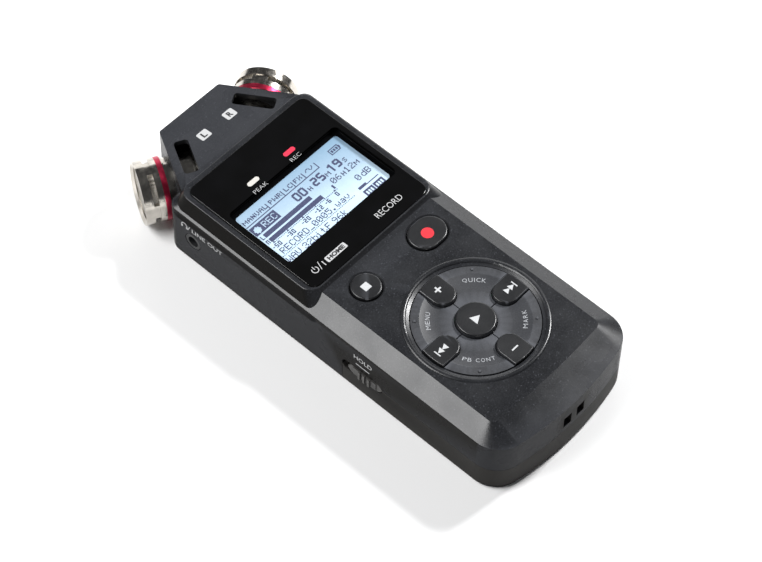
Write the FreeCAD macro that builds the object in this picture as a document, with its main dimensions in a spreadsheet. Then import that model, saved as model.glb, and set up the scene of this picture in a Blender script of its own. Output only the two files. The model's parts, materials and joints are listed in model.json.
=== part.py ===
import FreeCAD, Part
import Sketcher
import math
import os
import re
from types import SimpleNamespace

# Portable field recorder, millimetres.  +X is the user's right when reading the
# display, +Y points to the microphone end and +Z comes out of the display.  The
# origin is on the rear face, under the middle of the whole recorder.

SIZES = [
    # Overall body: rear face at zero, sloping shoulders up to the button face.
    ("body_half_width", 27.15), ("shoulder_foot", 19.34), ("face_level", 22.4),
    ("face_half_width", 21.5), ("bottom_end", 72.2), ("bottom_bulge", 100),
    ("corner_round", 8.8), ("face_end", 63.1), ("face_round", 2), ("top_end", 51),
    ("top_round", 3), ("wall", 1.8), ("rear_plate", 1.65), ("seam_level", 9.06),
    ("seam_gap", 0.1), ("seam_start", 14.45), ("edge_round", 0.35),
    # Head that carries the microphones.
    ("head_end", 69.5), ("head_half_width", 11.7), ("head_root", 46),
    ("head_end_level", 20.3), ("mic_turn", 60.5), ("head_round", 0.9),
    # Raised display block and its window.
    ("block_half_width", 24.6), ("block_foot_half_width", 26.4), ("block_level", 23.45),
    ("block_foot", 19.9), ("block_low", 0.7), ("block_foot_low", 4.3),
    ("block_high", 49.2), ("block_foot_high", 50), ("block_round", 4),
    ("window_half_width", 22.97), ("window_low", 0.25), ("window_high", 47.42),
    ("window_round", 2.6), ("window_level", 23.76), ("window_thickness", 1.2),
    ("window_clearance", 0.08), ("window_ledge", 1.3), ("window_edge", 0.15),
    # Liquid crystal display behind the window.
    ("lcd_half_width", 20.17), ("lcd_low", 11.28), ("lcd_high", 32.38), ("lcd_level", 21.6),
    ("lcd_margin", 1.2), ("lcd_thickness", 1.5), ("backlight_thickness", 1.9),
    # Main board and the switches on it.
    ("board_level", 17), ("board_thickness", 1.2), ("board_half_width", 18.6),
    ("board_low", 62), ("board_high", 45), ("tact_half_width", 2.2), ("tact_body", 1),
    ("plunger_radius", 1.1), ("plunger_level", 19.5), ("button_travel", 0.5),
    ("button_rest_gap", 0.05), ("flange_thickness", 0.5), ("flange_overlap", 0.7),
    ("button_gap", 0.25),
    # Round and oval buttons above the wheel.
    ("stop_x", 12.18), ("stop_y", 9.1), ("stop_radius", 4.35), ("record_end_radius", 4.75),
    ("record_half_straight", 1.15), ("key_level", 22.85), ("key_round", 0.5),
    ("key_lip", 0.45),
    # Wheel of nine buttons.
    ("wheel_y", 37.38), ("wheel_radius", 17.45), ("wheel_hole", 17.75), ("wheel_lip", 18.9),
    ("wheel_lip_drop", 0.5), ("bead_orbit", 19.4), ("bead_radius", 1.1), ("bead_sink", 0.75), ("play_radius", 5.55), ("shield_half_width", 3.7),
    ("shield_round_centre", 12), ("quadrant_level", 22.1), ("shield_level", 22.7),
    ("play_level", 22.8), ("band_radius", 15.1), ("dish_depth", 0.6), ("dish_inner", 9.6),
    ("spoke_gap", 0.3), ("nib_radius", 0.4), ("nib_orbit", 16.3), ("nib_height", 0.25),
    # Hold switch in the left wall.
    ("hold_middle", 21.65), ("hold_level", 8.8), ("hold_slot_half", 7.25),
    ("hold_slot_height", 3.6), ("hold_slot_depth", 1), ("hold_knob_half", 6),
    ("hold_knob_height", 3.2), ("hold_ridge", 0.7),
    ("hold_stem_half", 1.3), ("hold_stem_height", 1.4), ("hold_bevel", 1.2),
    # Sockets.
    ("phones_y", 41.6), ("jack_level", 9.93), ("jack_bore", 1.8), ("jack_nose", 2.7),
    ("jack_hole", 2.9), ("jack_length", 14), ("jack_half_width", 3), ("input_level", 13.2),
    ("usb_y", 30), ("usb_half_width", 4.47), ("usb_height", 3.2), ("usb_depth", 7.4),
    ("usb_level", 15.35), ("card_y", 8), ("card_half_width", 5.5), ("card_length", 15),
    ("card_thickness", 0.8), ("card_level", 15.9),
    ("card_door_half", 9), ("card_door_top", 17.7), ("card_door_thickness", 1),
    ("hinge_pin_radius", 0.5), ("hinge_clearance", 0.05), ("hinge_knuckle", 1), ("hinge_level", 12.7),
    # Microphones.
    ("mic_radius", 9.16), ("mic_front_x", 25.9), ("mic_front_y", 64.2), ("mic_level", 10.1),
    ("guard_rim", 2.6), ("guard_slot", 1.6), ("guard_rear", 1.8), ("guard_wall", 1.2),
    ("rib_half_width", 2.3), ("rib_turn", 22),
    ("accent_width", 1.6), ("accent_radius", 9.05), ("tube_radius", 8.3), ("tube_wall", 0.9),
    ("tube_end", 18.4), ("collar_width", 0.5), ("collar_radius", 8.85), ("mesh_radius", 7.85),
    ("mesh_wall", 0.3), ("mesh_recess", 1.1), ("mesh_end", 6.1), ("capsule_radius", 4.9),
    ("capsule_front", 3), ("capsule_end", 9), ("holder_front", 6.6), ("holder_end", 10),
    ("mic_hole_clearance", 0.12), ("port_half_length", 6.2), ("port_half_width", 2.1),
    ("port_round", 1), ("port_depth_along_axis", 14.3),
    # Strap bar in the bottom end.
    ("strap_hole_x", 2.6), ("strap_hole_half", 1.5), ("strap_hole_low", 11),
    ("strap_hole_high", 15.2), ("strap_pocket_depth", 3.4),
    # Battery compartment.
    ("cell_radius", 7.1), ("cell_length", 50.5), ("cell_x", 7.45), ("cell_level", 9.2),
    ("cell_nub_radius", 2.6), ("cell_nub", 1), ("tub_half_width", 16.3), ("tub_wall", 1.2),
    ("tub_low", 65), ("tub_high", 6.2), ("tub_level", 16.7), ("floor_thickness", 1.2),
    ("door_high", 5.1), ("door_gap", 0.25), ("door_thickness", 1.6), ("rear_round", 1.1),
    ("spring_radius", 2.9), ("spring_wire", 0.35), ("spring_turns", 3),
    ("spring_taper", 12),
    ("contact_thickness", 0.3), ("grip_width", 14),
    # Speaker, tripod bush and screws.
    ("speaker_y", 30), ("speaker_radius", 8), ("speaker_height", 3.4), ("grille_half", 5.4),
    ("grille_bar", 0.5), ("tripod_y", 8), ("tripod_bore", 2.55), ("tripod_outer", 4.4),
    ("tripod_depth", 6.2), ("boss_wall", 1.6), ("post_radius", 2.3), ("pilot_radius", 0.95),
    ("screw_head_radius", 1.8), ("screw_head", 1.1), ("screw_shank", 0.9),
    ("screw_length", 13), ("screw_recess", 0.4), ("post_low_x", 21.6), ("post_low_y", 57),
    ("post_high_x", 22.4), ("post_high_y", 2), ("post_head_y", 50.5), ("board_post_x", 17.55),
    ("board_post_low", 59.5), ("board_post_high", 1.8), ("board_post_radius", 1.3),
    ("board_screw_radius", 0.6), ("board_screw_head", 1.15), ("board_screw_length", 2.8),
    # Indicator light guides.
    ("peak_x", 8.13), ("record_light_x", 6.1), ("light_y", 36.55), ("light_half_length", 1.7),
    ("light_radius", 0.85),
]

doc = FreeCAD.newDocument("field_recorder")
sheet = doc.addObject("Spreadsheet::Sheet", "sizes")
for row, (word, value) in enumerate(SIZES, start=1):
    sheet.set("A%d" % row, word)
    sheet.set("B%d" % row, str(value))
    sheet.setAlias("B%d" % row, word)
doc.recompute()
V = SimpleNamespace(**{word: float(sheet.get(word)) for word, value in SIZES})
ALIASES = re.compile(r"\b(%s)\b" % "|".join(word for word, value in SIZES))
nodes = []


def linked(text):
    """An expression whose plain words point at the cells of the sheet."""
    return ALIASES.sub(r"sizes.\1", str(text))


def bind(obj, **sizes):
    for name, text in sizes.items():
        obj.setExpression(name, linked(text))


def place(obj, at, rotation=None):
    obj.Placement = FreeCAD.Placement(FreeCAD.Vector(0, 0, 0), rotation or FreeCAD.Rotation())
    for axis, text in zip("xyz", at):
        obj.setExpression(".Placement.Base." + axis, linked(text))


def node(obj, label):
    """Names a finished sub-part, which is then checked and written out."""
    obj.Label = label
    nodes.append(obj)
    return obj


def box(name, size, at):
    obj = doc.addObject("Part::Box", name)
    bind(obj, Length=size[0], Width=size[1], Height=size[2])
    place(obj, at)
    return obj


TURNS = {
    "+z": FreeCAD.Rotation(),
    "+x": FreeCAD.Rotation(FreeCAD.Vector(0, 1, 0), 90),
    "-x": FreeCAD.Rotation(FreeCAD.Vector(0, 1, 0), -90),
    "+y": FreeCAD.Rotation(FreeCAD.Vector(1, 0, 0), -90),
}


def rod(name, radius, height, at, along="+z", angle=360):
    obj = doc.addObject("Part::Cylinder", name)
    bind(obj, Radius=radius, Height=height, Angle=angle)
    place(obj, at, TURNS[along])
    return obj


def join(name, parts):
    obj = doc.addObject("Part::MultiFuse", name)
    obj.Shapes = parts
    return obj


def cut(name, base, tools):
    obj = doc.addObject("Part::Cut", name)
    obj.Base = base
    obj.Tool = tools[0] if len(tools) == 1 else join(name + "_tools", tools)
    return obj


def common(name, first, second):
    obj = doc.addObject("Part::Common", name)
    obj.Base = first
    obj.Tool = second
    return obj


def compound(name, parts):
    obj = doc.addObject("Part::Compound", name)
    obj.Links = parts
    return obj


def shaped(name, shape):
    obj = doc.addObject("Part::Feature", name)
    obj.Shape = shape
    return obj


def soften(name, base, radius, wanted):
    """Rounds the edges of base for which wanted(edge) is true."""
    doc.recompute()
    obj = doc.addObject("Part::Fillet", name)
    obj.Base = base
    obj.Edges = [(i, radius, radius) for i, edge in enumerate(base.Shape.Edges, 1) if wanted(edge)]
    return obj


def level_edges(level):
    """True for an edge that lies wholly at one height."""
    def wanted(edge):
        return abs(edge.BoundBox.ZMin - level) < 0.01 and abs(edge.BoundBox.ZMax - level) < 0.01
    return wanted


def origin_plane(body, role):
    return next(f for f in body.Origin.OriginFeatures if f.Role == role)


def plate(label, width, length, thickness, corner, at):
    """A rectangular plate with rounded corners, padded from its own sketch."""
    body = doc.addObject("PartDesign::Body", label + "_body")
    sketch = body.newObject("Sketcher::SketchObject", label + "_outline")
    sketch.AttachmentSupport = [(origin_plane(body, "XY_Plane"), "")]
    sketch.MapMode = "FlatFace"
    corners = [(-5, -5), (5, -5), (5, 5), (-5, 5)]
    for i, start in enumerate(corners):
        end = corners[(i + 1) % 4]
        sketch.addGeometry(Part.LineSegment(FreeCAD.Vector(*start, 0), FreeCAD.Vector(*end, 0)))
    for i in range(4):
        sketch.addConstraint(Sketcher.Constraint("Coincident", i, 2, (i + 1) % 4, 1))
        sketch.addConstraint(Sketcher.Constraint("Horizontal" if i % 2 == 0 else "Vertical", i))
    sketch.addConstraint(Sketcher.Constraint("Symmetric", 0, 1, 1, 2, -1, 1))
    wide = sketch.addConstraint(Sketcher.Constraint("DistanceX", 0, 1, 0, 2, 10))
    long = sketch.addConstraint(Sketcher.Constraint("DistanceY", 1, 1, 1, 2, 10))
    sketch.setExpression("Constraints[%d]" % wide, linked(width))
    sketch.setExpression("Constraints[%d]" % long, linked(length))
    pad = body.newObject("PartDesign::Pad", label + "_pad")
    pad.Profile = sketch
    pad.setExpression("Length", linked(thickness))
    doc.recompute()
    upright = [e for e in range(1, len(pad.Shape.Edges) + 1) if upright_edge(pad.Shape.Edges[e - 1])]
    fillet = body.newObject("PartDesign::Fillet", label + "_corners")
    fillet.Base = (pad, ["Edge%d" % e for e in upright])
    fillet.setExpression("Radius", linked(corner))
    place(body, at)
    return body


def upright_edge(edge):
    span = edge.BoundBox
    return span.XLength < 0.01 and span.YLength < 0.01 and span.ZLength > 0.01


# ---------------------------------------------------------------- outlines
def point(x, y, z=0.0):
    return FreeCAD.Vector(x, y, z)


def arc(centre, radius, start, end, z):
    """Counter-clockwise arc in a level plane, angles in radians."""
    circle = Part.Circle(point(centre[0], centre[1], z), point(0, 0, 1), radius)
    return Part.ArcOfCircle(circle, start, end).toShape()


def body_wire(half_width, end, bulge, corner, top, top_corner, z):
    """The plan of the case: straight sides, a bowed bottom end, rounded corners."""
    hub = -end + bulge
    corner_x = half_width - corner
    corner_y = hub - math.sqrt((bulge - corner) ** 2 - corner_x ** 2)
    lean = math.atan2(corner_x, hub - corner_y)
    top_x = half_width - top_corner
    top_y = top - top_corner
    bottom = -math.pi / 2
    edges = [
        arc((0, hub), bulge, bottom - lean, bottom + lean, z),
        arc((corner_x, corner_y), corner, bottom + lean, 0, z),
        Part.makeLine(point(half_width, corner_y, z), point(half_width, top_y, z)),
        arc((top_x, top_y), top_corner, 0, math.pi / 2, z),
        Part.makeLine(point(top_x, top, z), point(-top_x, top, z)),
        arc((-top_x, top_y), top_corner, math.pi / 2, math.pi, z),
        Part.makeLine(point(-half_width, top_y, z), point(-half_width, corner_y, z)),
        arc((-corner_x, corner_y), corner, math.pi, 3 * math.pi / 2 - lean, z),
    ]
    return Part.Wire(edges)


def outer_wire(inset, z):
    return body_wire(V.body_half_width - inset, V.bottom_end - inset, V.bottom_bulge - inset,
                     max(V.corner_round - inset, 0.5), V.top_end - inset,
                     max(V.top_round - inset, 0.5), z)


def face_wire(inset, z):
    return body_wire(V.face_half_width - inset, V.face_end - inset, 3 * V.bottom_bulge,
                     V.face_round, V.top_end - inset - 2 * V.top_round, V.face_round, z)


def prism(wire, height):
    return Part.Face(wire).extrude(point(0, 0, height))


def loft(lower, upper):
    return Part.makeLoft([lower, upper], True, True)


def rounded_block(half_width, low, high, corner, bottom, top):
    """An upright rectangular block with rounded vertical edges."""
    return prism(rectangle_wire(half_width, low, high, corner, bottom), top - bottom)


def rectangle_wire(half_width, low, high, corner, z):
    """A rounded rectangle from y = low to y = high."""
    inner = half_width - corner
    turn = math.pi / 2
    centres = [(inner, high - corner), (-inner, high - corner), (-inner, low + corner),
               (inner, low + corner)]
    edges = []
    for i, centre in enumerate(centres):
        following = centres[(i + 1) % 4]
        edges.append(arc(centre, corner, i * turn, (i + 1) * turn, z))
        away = point(math.cos((i + 1) * turn), math.sin((i + 1) * turn)) * corner
        edges.append(Part.makeLine(point(*centre, z) + away, point(*following, z) + away))
    return Part.Wire(edges)


def head_prism(inset, bottom, top):
    """The tapered head: its two flanks face the way the microphones point."""
    slope = math.tan(math.radians(90 - V.mic_turn))
    reach = inset / math.cos(math.radians(90 - V.mic_turn))
    end = V.head_end - inset
    tip = V.head_half_width + inset * slope - reach
    root = tip + slope * (end - V.head_root)
    corners = [(root, V.head_root), (tip, end), (-tip, end), (-root, V.head_root)]
    wire = Part.makePolygon([point(x, y, bottom) for x, y in corners + corners[:1]])
    solid = prism(wire, top - bottom)
    if inset:
        return solid
    ends = [e for e in solid.Edges if upright_edge(e) and e.BoundBox.YMin > V.head_root + 1]
    return solid.makeFillet(V.head_round, ends)


def above_head_slope(drop):
    """Everything above the sloping top of the head, lowered by drop."""
    rise = V.face_level - V.head_end_level
    run = V.head_end - V.block_high
    far = V.head_end + 5
    far_level = V.face_level - rise * (far - V.block_high) / run
    profile = [point(0, V.head_root, V.face_level + 9), point(0, V.head_root, V.face_level - drop),
               point(0, V.block_high, V.face_level - drop), point(0, far, far_level - drop),
               point(0, far, V.face_level + 9)]
    face = Part.Face(Part.makePolygon(profile + profile[:1]))
    return face.extrude(point(80, 0, 0)).translated(point(-40, 0, 0))


def slab(x, y, z):
    """A box given by its two limits on each axis."""
    corner = point(x[0], y[0], z[0])
    return Part.makeBox(x[1] - x[0], y[1] - y[0], z[1] - z[0], corner)


# ------------------------------------------------------ microphone placing
def mic_frame(side):
    """Puts a microphone's own axis (+Z out of its mouth) on its flank of the head."""
    turn = math.radians(V.mic_turn)
    aim = point(side * math.sin(turn), math.cos(turn), 0)
    rotation = FreeCAD.Rotation(point(0, 0, 1), aim)
    mouth = point(side * V.mic_front_x, V.mic_front_y, V.mic_level)
    return FreeCAD.Placement(mouth, rotation)


def mic_rod(side, radius, start, end):
    """A round bar on the microphone axis, start and end measured back from its mouth."""
    solid = Part.makeCylinder(radius, end - start, point(0, 0, -end))
    solid.Placement = mic_frame(side).multiply(solid.Placement)
    return solid


def port_prism(side, bottom, top, grow=0.0):
    """The slot over a microphone in the top of the head, along its flank."""
    half_length = V.port_half_length + grow
    half_width = V.port_half_width + grow
    wire = rectangle_wire(half_width, -half_length, half_length, V.port_round + grow, 0)
    solid = prism(wire, top - bottom)
    turn = math.radians(V.mic_turn)
    back = V.port_depth_along_axis
    middle_x = side * (V.mic_front_x - back * math.sin(turn))
    middle_y = V.mic_front_y - back * math.cos(turn)
    rotation = FreeCAD.Rotation(point(0, 0, 1), side * (90 - V.mic_turn))
    solid.Placement = FreeCAD.Placement(point(middle_x, middle_y, bottom), rotation)
    return solid


# --------------------------------------------------------------- the shells
SIDES = {"left": -1, "right": 1}
POSTS = [(-V.post_low_x, -V.post_low_y), (V.post_low_x, -V.post_low_y),
         (-V.post_high_x, -V.post_high_y), (V.post_high_x, -V.post_high_y), (0, V.post_head_y)]
BOARD_POSTS = [(side * V.board_post_x, -y) for y in (V.board_post_low, V.board_post_high)
               for side in (-1, 1)]


def block_loft(inset, bottom, top):
    """The display block, whose walls lean in towards its top."""
    climb = V.block_level - V.block_foot

    def section(z):
        part = (z - V.block_foot) / climb
        half = V.block_foot_half_width + part * (V.block_half_width - V.block_foot_half_width)
        low = V.block_foot_low + part * (V.block_low - V.block_foot_low)
        high = V.block_foot_high + part * (V.block_high - V.block_foot_high)
        return rectangle_wire(half - inset, inset - low, high - inset, V.block_round - inset, z)
    return loft(section(bottom), section(top))


def case_solid():
    """The outside of the whole front cover before it is hollowed."""
    base = V.rear_plate + V.seam_gap
    lower = prism(outer_wire(0, base), V.shoulder_foot - base)
    shoulder = loft(outer_wire(0, V.shoulder_foot), face_wire(0, V.face_level))
    head = head_prism(0, base, V.face_level).cut(above_head_slope(0))
    block = block_loft(0, V.shoulder_foot - 2, V.block_level)
    rim = [edge for edge in block.Edges if level_edges(V.block_level)(edge)]
    block = block.makeFillet(V.edge_round, rim)
    bead = Part.makeTorus(V.bead_orbit, V.bead_radius,
                          point(0, -V.wheel_y, V.face_level - V.bead_sink))
    return lower.fuse([shoulder, head, block, bead]).removeSplitter()


def case_hollow():
    """The space inside the front cover."""
    ceiling = V.face_level - V.wall
    inner_foot = V.shoulder_foot - V.wall
    lower = prism(outer_wire(V.wall, 0), inner_foot)
    shoulder = loft(outer_wire(V.wall, inner_foot), face_wire(V.wall, ceiling))
    head = head_prism(V.wall, 0, V.face_level).cut(above_head_slope(V.wall))
    return lower.fuse([shoulder, head])


def window_space():
    """The recess that takes the window and the opening under it."""
    clear = V.window_clearance
    floor = V.window_level - V.window_thickness
    recess = rounded_block(V.window_half_width + clear, -V.window_low - clear,
                           V.window_high + clear, V.window_round, floor, V.face_level + 5)
    ledge = V.window_ledge
    opening = rounded_block(V.window_half_width - ledge, ledge - V.window_low,
                            V.window_high - ledge, V.window_round, V.shoulder_foot - 2,
                            V.face_level + 5)
    return recess.fuse(opening)


def lip_cone(radius, lip, drop):
    """A sloping lip round a hole in the button face."""
    top = V.face_level + 0.01
    slope = (lip - radius) / drop
    return Part.makeCone(radius - slope * 0.2, lip + slope * 0.01, drop + 0.21,
                         point(0, 0, top - drop - 0.2))


def oval_wire(radius, straight, z):
    return rectangle_wire(straight + radius, -radius, radius, radius - 0.001, z)


def oval_lip(radius, straight, lip):
    """A sloping lip round an oval hole, long along X."""
    low = oval_wire(radius, straight, V.face_level - lip)
    return loft(low, oval_wire(radius + lip, straight, V.face_level + 0.01))


def button_holes():
    gap = V.button_gap
    low = V.face_level - V.wall - 1
    high = V.face_level + 1
    stop = Part.makeCylinder(V.stop_radius + gap, high - low, point(-V.stop_x, -V.stop_y, low))
    stop_lip = lip_cone(V.stop_radius + gap, V.stop_radius + gap + V.key_lip, V.key_lip)
    stop_lip.translate(point(-V.stop_x, -V.stop_y, 0))
    record_radius = V.record_end_radius + gap
    record = prism(oval_wire(record_radius, V.record_half_straight, low), high - low)
    record_lip = oval_lip(record_radius, V.record_half_straight, V.key_lip)
    for part in (record, record_lip):
        part.translate(point(V.stop_x, -V.stop_y, 0))
    wheel = Part.makeCylinder(V.wheel_hole, high - low, point(0, -V.wheel_y, low))
    lip = lip_cone(V.wheel_hole, V.wheel_lip, V.wheel_lip_drop)
    lip.translate(point(0, -V.wheel_y, 0))
    return [stop, stop_lip, record, record_lip, wheel, lip]


def strap_holes():
    """Two pockets in the bottom end; the web between them is the strap bar."""
    half = V.strap_hole_half
    depth = V.strap_pocket_depth
    back = -V.bottom_end + depth
    holes = []
    for side in (-1, 1):
        middle = side * V.strap_hole_x
        holes.append(slab((middle - half, middle + half), (-V.bottom_end - 1, back),
                          (V.strap_hole_low, V.strap_hole_high)))
    tunnel = slab((-V.strap_hole_x, V.strap_hole_x), (back - 1.4, back),
                  (V.strap_hole_low, V.strap_hole_high))
    return holes + [tunnel]


def strap_box():
    """The thicker wall in which the strap pockets are moulded."""
    half = V.strap_hole_x + V.strap_hole_half + V.tub_wall
    inner = -V.bottom_end + V.strap_pocket_depth + V.tub_wall
    return slab((-half, half), (-V.bottom_end + V.wall / 2, inner),
                (V.strap_hole_low - V.tub_wall, V.shoulder_foot - V.wall / 2))


def hold_slot():
    half = V.hold_slot_half
    rise = V.hold_slot_height / 2
    outer = -V.body_half_width
    middle = -V.hold_middle
    recess = slab((outer - 1, outer + V.hold_slot_depth), (middle - half, middle + half),
                  (V.hold_level - rise, V.hold_level + rise))
    stem = slab((outer - 1, outer + V.wall + 1),
                (middle - half + 1.2, middle + half - 1.2),
                (V.hold_level - V.hold_stem_height, V.hold_level + V.hold_stem_height))
    upright = [e for e in recess.Edges if e.BoundBox.XLength > 1 and e.BoundBox.YLength < 0.01]
    return recess.makeChamfer(V.hold_bevel, upright).fuse(stem)


def socket_holes():
    phones = Part.makeCylinder(V.jack_hole, 6, point(-V.body_half_width - 1, V.phones_y,
                                                     V.jack_level), point(1, 0, 0))
    line_in = Part.makeCylinder(V.jack_hole, 6, point(0, V.head_end - 4, V.input_level),
                                point(0, 1, 0))
    clear = 0.2
    rise = V.usb_height / 2 + clear
    half = V.usb_half_width + clear
    wall = (V.body_half_width - 4, V.body_half_width + 1)
    usb = slab(wall, (V.usb_y - half, V.usb_y + half), (V.usb_level - rise, V.usb_level + rise))
    long_edges = [e for e in usb.Edges if e.BoundBox.XLength > 1]
    usb = usb.makeFillet(rise - 0.1, long_edges)
    card_gap = V.card_half_width + 0.3
    card = slab(wall, (V.card_y - card_gap, V.card_y + card_gap),
                (V.card_level - 0.7, V.card_level + 0.7))
    return [phones, line_in, usb, card, card_door_recess()]


def card_door_recess():
    """The seat of the card door in the right wall, with room for its hinge."""
    half = V.card_door_half + 0.15
    hinge_x = V.body_half_width - V.card_door_thickness
    room = V.hinge_knuckle + 0.15
    seat = slab((hinge_x - 0.1, V.body_half_width + 1), (V.card_y - half, V.card_y + half),
                (V.hinge_level - room, V.card_door_top + 0.15))
    knuckle = Part.makeCylinder(room, 2 * half, point(hinge_x, V.card_y - half, V.hinge_level),
                                point(0, 1, 0))
    pin_half = half + 1
    pin = Part.makeCylinder(V.hinge_pin_radius, 2 * pin_half,
                            point(hinge_x, V.card_y - pin_half, V.hinge_level), point(0, 1, 0))
    return seat.fuse([knuckle, pin])


def screw_head_level(y):
    """Case screws sit in the rear plate, or in the floor under the battery door."""
    if y < -V.door_high:
        return V.rear_plate + V.seam_gap + 0.05
    return V.screw_recess


def screw_posts(bottom, top, pilot):
    posts = []
    for x, y in POSTS:
        post = Part.makeCylinder(V.post_radius, top - bottom, point(x, y, bottom))
        drill = Part.makeCylinder(pilot, top - bottom + 2, point(x, y, bottom - 1))
        posts.append(post.cut(drill))
    return posts


def make_front_cover():
    outer = case_solid()
    shell = outer.cut(case_hollow())
    shell = shell.fuse([strap_box().common(outer)])
    posts = [p.common(outer) for p in screw_posts(V.seam_level + V.seam_gap, V.face_level - 1,
                                                  V.pilot_radius)]
    blind = [Part.makeCylinder(V.pilot_radius, 12, point(x, y, 5)) for x, y in POSTS]
    for x, y in BOARD_POSTS:
        start = point(x, y, V.board_level + V.board_thickness)
        posts.append(Part.makeCylinder(V.board_post_radius, 2.8, start))
        blind.append(Part.makeCylinder(V.board_screw_radius, 1.9, start))
    shell = shell.fuse(posts).cut(blind)
    under_seam = slab((-40, 40), (-90, -V.seam_start), (0, V.seam_level + V.seam_gap / 2))
    ports = [port_prism(side, V.mic_level, V.face_level + 1) for side in SIDES.values()]
    bores = [mic_rod(side, V.tube_radius + V.mic_hole_clearance, 5, V.tube_end + 0.6)
             for side in SIDES.values()]
    cutters = [window_space(), under_seam, hold_slot()] + button_holes() + strap_holes()
    cutters += socket_holes() + ports + bores
    shell = shell.cut(cutters)
    return max(shell.Solids, key=lambda solid: solid.Volume)


def make_rear_case():
    """Rear half: the plate behind the display, the low walls and the battery tub."""
    low = 0
    base = V.rear_plate + V.seam_gap
    plan = prism(outer_wire(0.15, low), V.rear_plate).fuse(head_prism(0.15, low, V.rear_plate))
    plan = plan.removeSplitter()
    rim = [e for e in plan.Edges if level_edges(low)(e)]
    plate_top = plan.makeFillet(V.rear_round, rim)
    upper = plate_top.common(slab((-40, 40), (-V.door_high + V.door_gap / 2, 90), (-1, 9)))
    walls = prism(outer_wire(0, base), V.seam_level - V.seam_gap / 2 - base)
    walls = walls.cut(prism(outer_wire(V.wall, 0), 20))
    walls = walls.common(slab((-40, 40), (-90, -V.seam_start - 0.1), (0, 20)))
    floor = prism(outer_wire(V.wall + 0.1, base), V.floor_thickness)
    floor = floor.common(slab((-40, 40), (-90, -V.door_high + 1.2), (0, 20)))
    join_walls = prism(outer_wire(0.5, base), V.floor_thickness)
    join_walls = join_walls.common(slab((-40, 40), (-90, -V.seam_start - 0.1), (0, 20)))
    bulkhead = slab((-V.tub_half_width, V.tub_half_width), (-V.tub_high + 1, -V.door_high + 1.2),
                    (V.rear_plate / 2, base + V.floor_thickness))
    tub = slab((-V.tub_half_width, V.tub_half_width), (-V.tub_low, -V.tub_high),
               (base, V.tub_level))
    room = slab((-V.tub_half_width + V.tub_wall, V.tub_half_width - V.tub_wall),
                (-V.tub_low + V.tub_wall, -V.tub_high - V.tub_wall), (-1, V.tub_level + 1))
    posts = screw_posts(V.rear_plate / 2, V.seam_level, V.pilot_radius + 0.25)
    posts = [post.common(slab((-40, 40), (-90, 90), (base, 20))) if post.BoundBox.YMax < -V.door_high
             else post for post in posts]
    boss_radius = V.tripod_outer + V.boss_wall
    boss = Part.makeCylinder(boss_radius, V.tripod_depth + 1.2, point(0, V.tripod_y, 0.3))
    shell = upper.fuse([walls, floor, join_walls, bulkhead, tub, boss] + posts)
    heads = []
    for x, y in POSTS:
        level = screw_head_level(y)
        heads.append(Part.makeCylinder(V.screw_head_radius + 0.15, level + V.screw_head,
                                       point(x, y, 0)))
        heads.append(Part.makeCylinder(V.pilot_radius + 0.25, 20, point(x, y, -1)))
    bush = Part.makeCylinder(V.tripod_outer, V.tripod_depth, point(0, V.tripod_y, 0))
    slots = []
    step = 2.4
    for i in range(-2, 3):
        reach = math.sqrt(V.grille_half ** 2 - (i * step * 0.42) ** 2)
        slots.append(slab((-reach, reach), (V.speaker_y + i * step - V.grille_bar,
                                            V.speaker_y + i * step + V.grille_bar), (-1, 3)))
    shell = shell.cut([room, bush, hold_slot()] + heads + slots)
    return max(shell.Solids, key=lambda solid: solid.Volume)


def make_battery_door():
    """Sliding cover over the batteries: the rear plate below the display."""
    plan = prism(outer_wire(0.15, 0), V.door_thickness)
    plan = plan.common(slab((-40, 40), (-90, -V.door_high - V.door_gap / 2), (-1, 9)))
    rim = [e for e in plan.Edges if level_edges(0)(e) and e.BoundBox.YLength > 0.01]
    door = plan.makeFillet(V.rear_round, rim)
    grooves = []
    for i in range(5):
        y = -V.door_high - 5 - 1.5 * i
        bar = Part.makeCylinder(0.5, V.grip_width, point(-V.grip_width / 2, y, -0.2), point(1, 0, 0))
        grooves.append(bar)
    return door.cut(grooves)


node(shaped("front_cover_shape", make_front_cover()), "front_cover")
node(shaped("rear_case_shape", make_rear_case()), "rear_case")
node(shaped("battery_door_shape", make_battery_door()), "battery_door")

# -------------------------------------------------- display and indicators
window = plate("window_plate", "2 * window_half_width", "window_high + window_low",
               "window_thickness", "window_round",
               (0, "(window_high - window_low) / 2", "window_level - window_thickness"))
node(soften("window_soft", window, V.window_edge, level_edges(V.window_level)), "display_window")
lcd_size = ("2 * (lcd_half_width + lcd_margin)", "lcd_high - lcd_low + 2 * lcd_margin")
node(plate("lcd_panel", *lcd_size, "lcd_thickness", 0.5,
           (0, "(lcd_high + lcd_low) / 2", "lcd_level - lcd_thickness")), "lcd_panel")
node(plate("lcd_backlight", *lcd_size, "backlight_thickness", 0.5,
           (0, "(lcd_high + lcd_low) / 2", "lcd_level - lcd_thickness - backlight_thickness")),
     "lcd_backlight")

LED_HEIGHT = 0.8
BOARD_TOP = "board_level + board_thickness"
for name, x in (("peak", "-peak_x"), ("record", "record_light_x")):
    span = "2 * (light_half_length + light_radius)"
    node(plate(name + "_light_guide", span, "2 * light_radius",
               "window_level - window_thickness - 0.1 - (%s + %s)" % (BOARD_TOP, LED_HEIGHT),
               "light_radius - 0.01", (x, "light_y", "%s + %s" % (BOARD_TOP, LED_HEIGHT))),
         name + "_light_guide")
leds = [box(name + "_led", (3, 1.4, LED_HEIGHT), (x + " - 1.5", "light_y - 0.7", BOARD_TOP))
        for name, x in (("peak", "-peak_x"), ("record", "record_light_x"))]
node(compound("leds", leds), "status_leds")

# ------------------------------------------------------------------ buttons
BUTTON_BOTTOM = "plunger_level + button_travel + button_rest_gap"


def button_height(level):
    return "%s - (%s)" % (level, BUTTON_BOTTOM)


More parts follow.
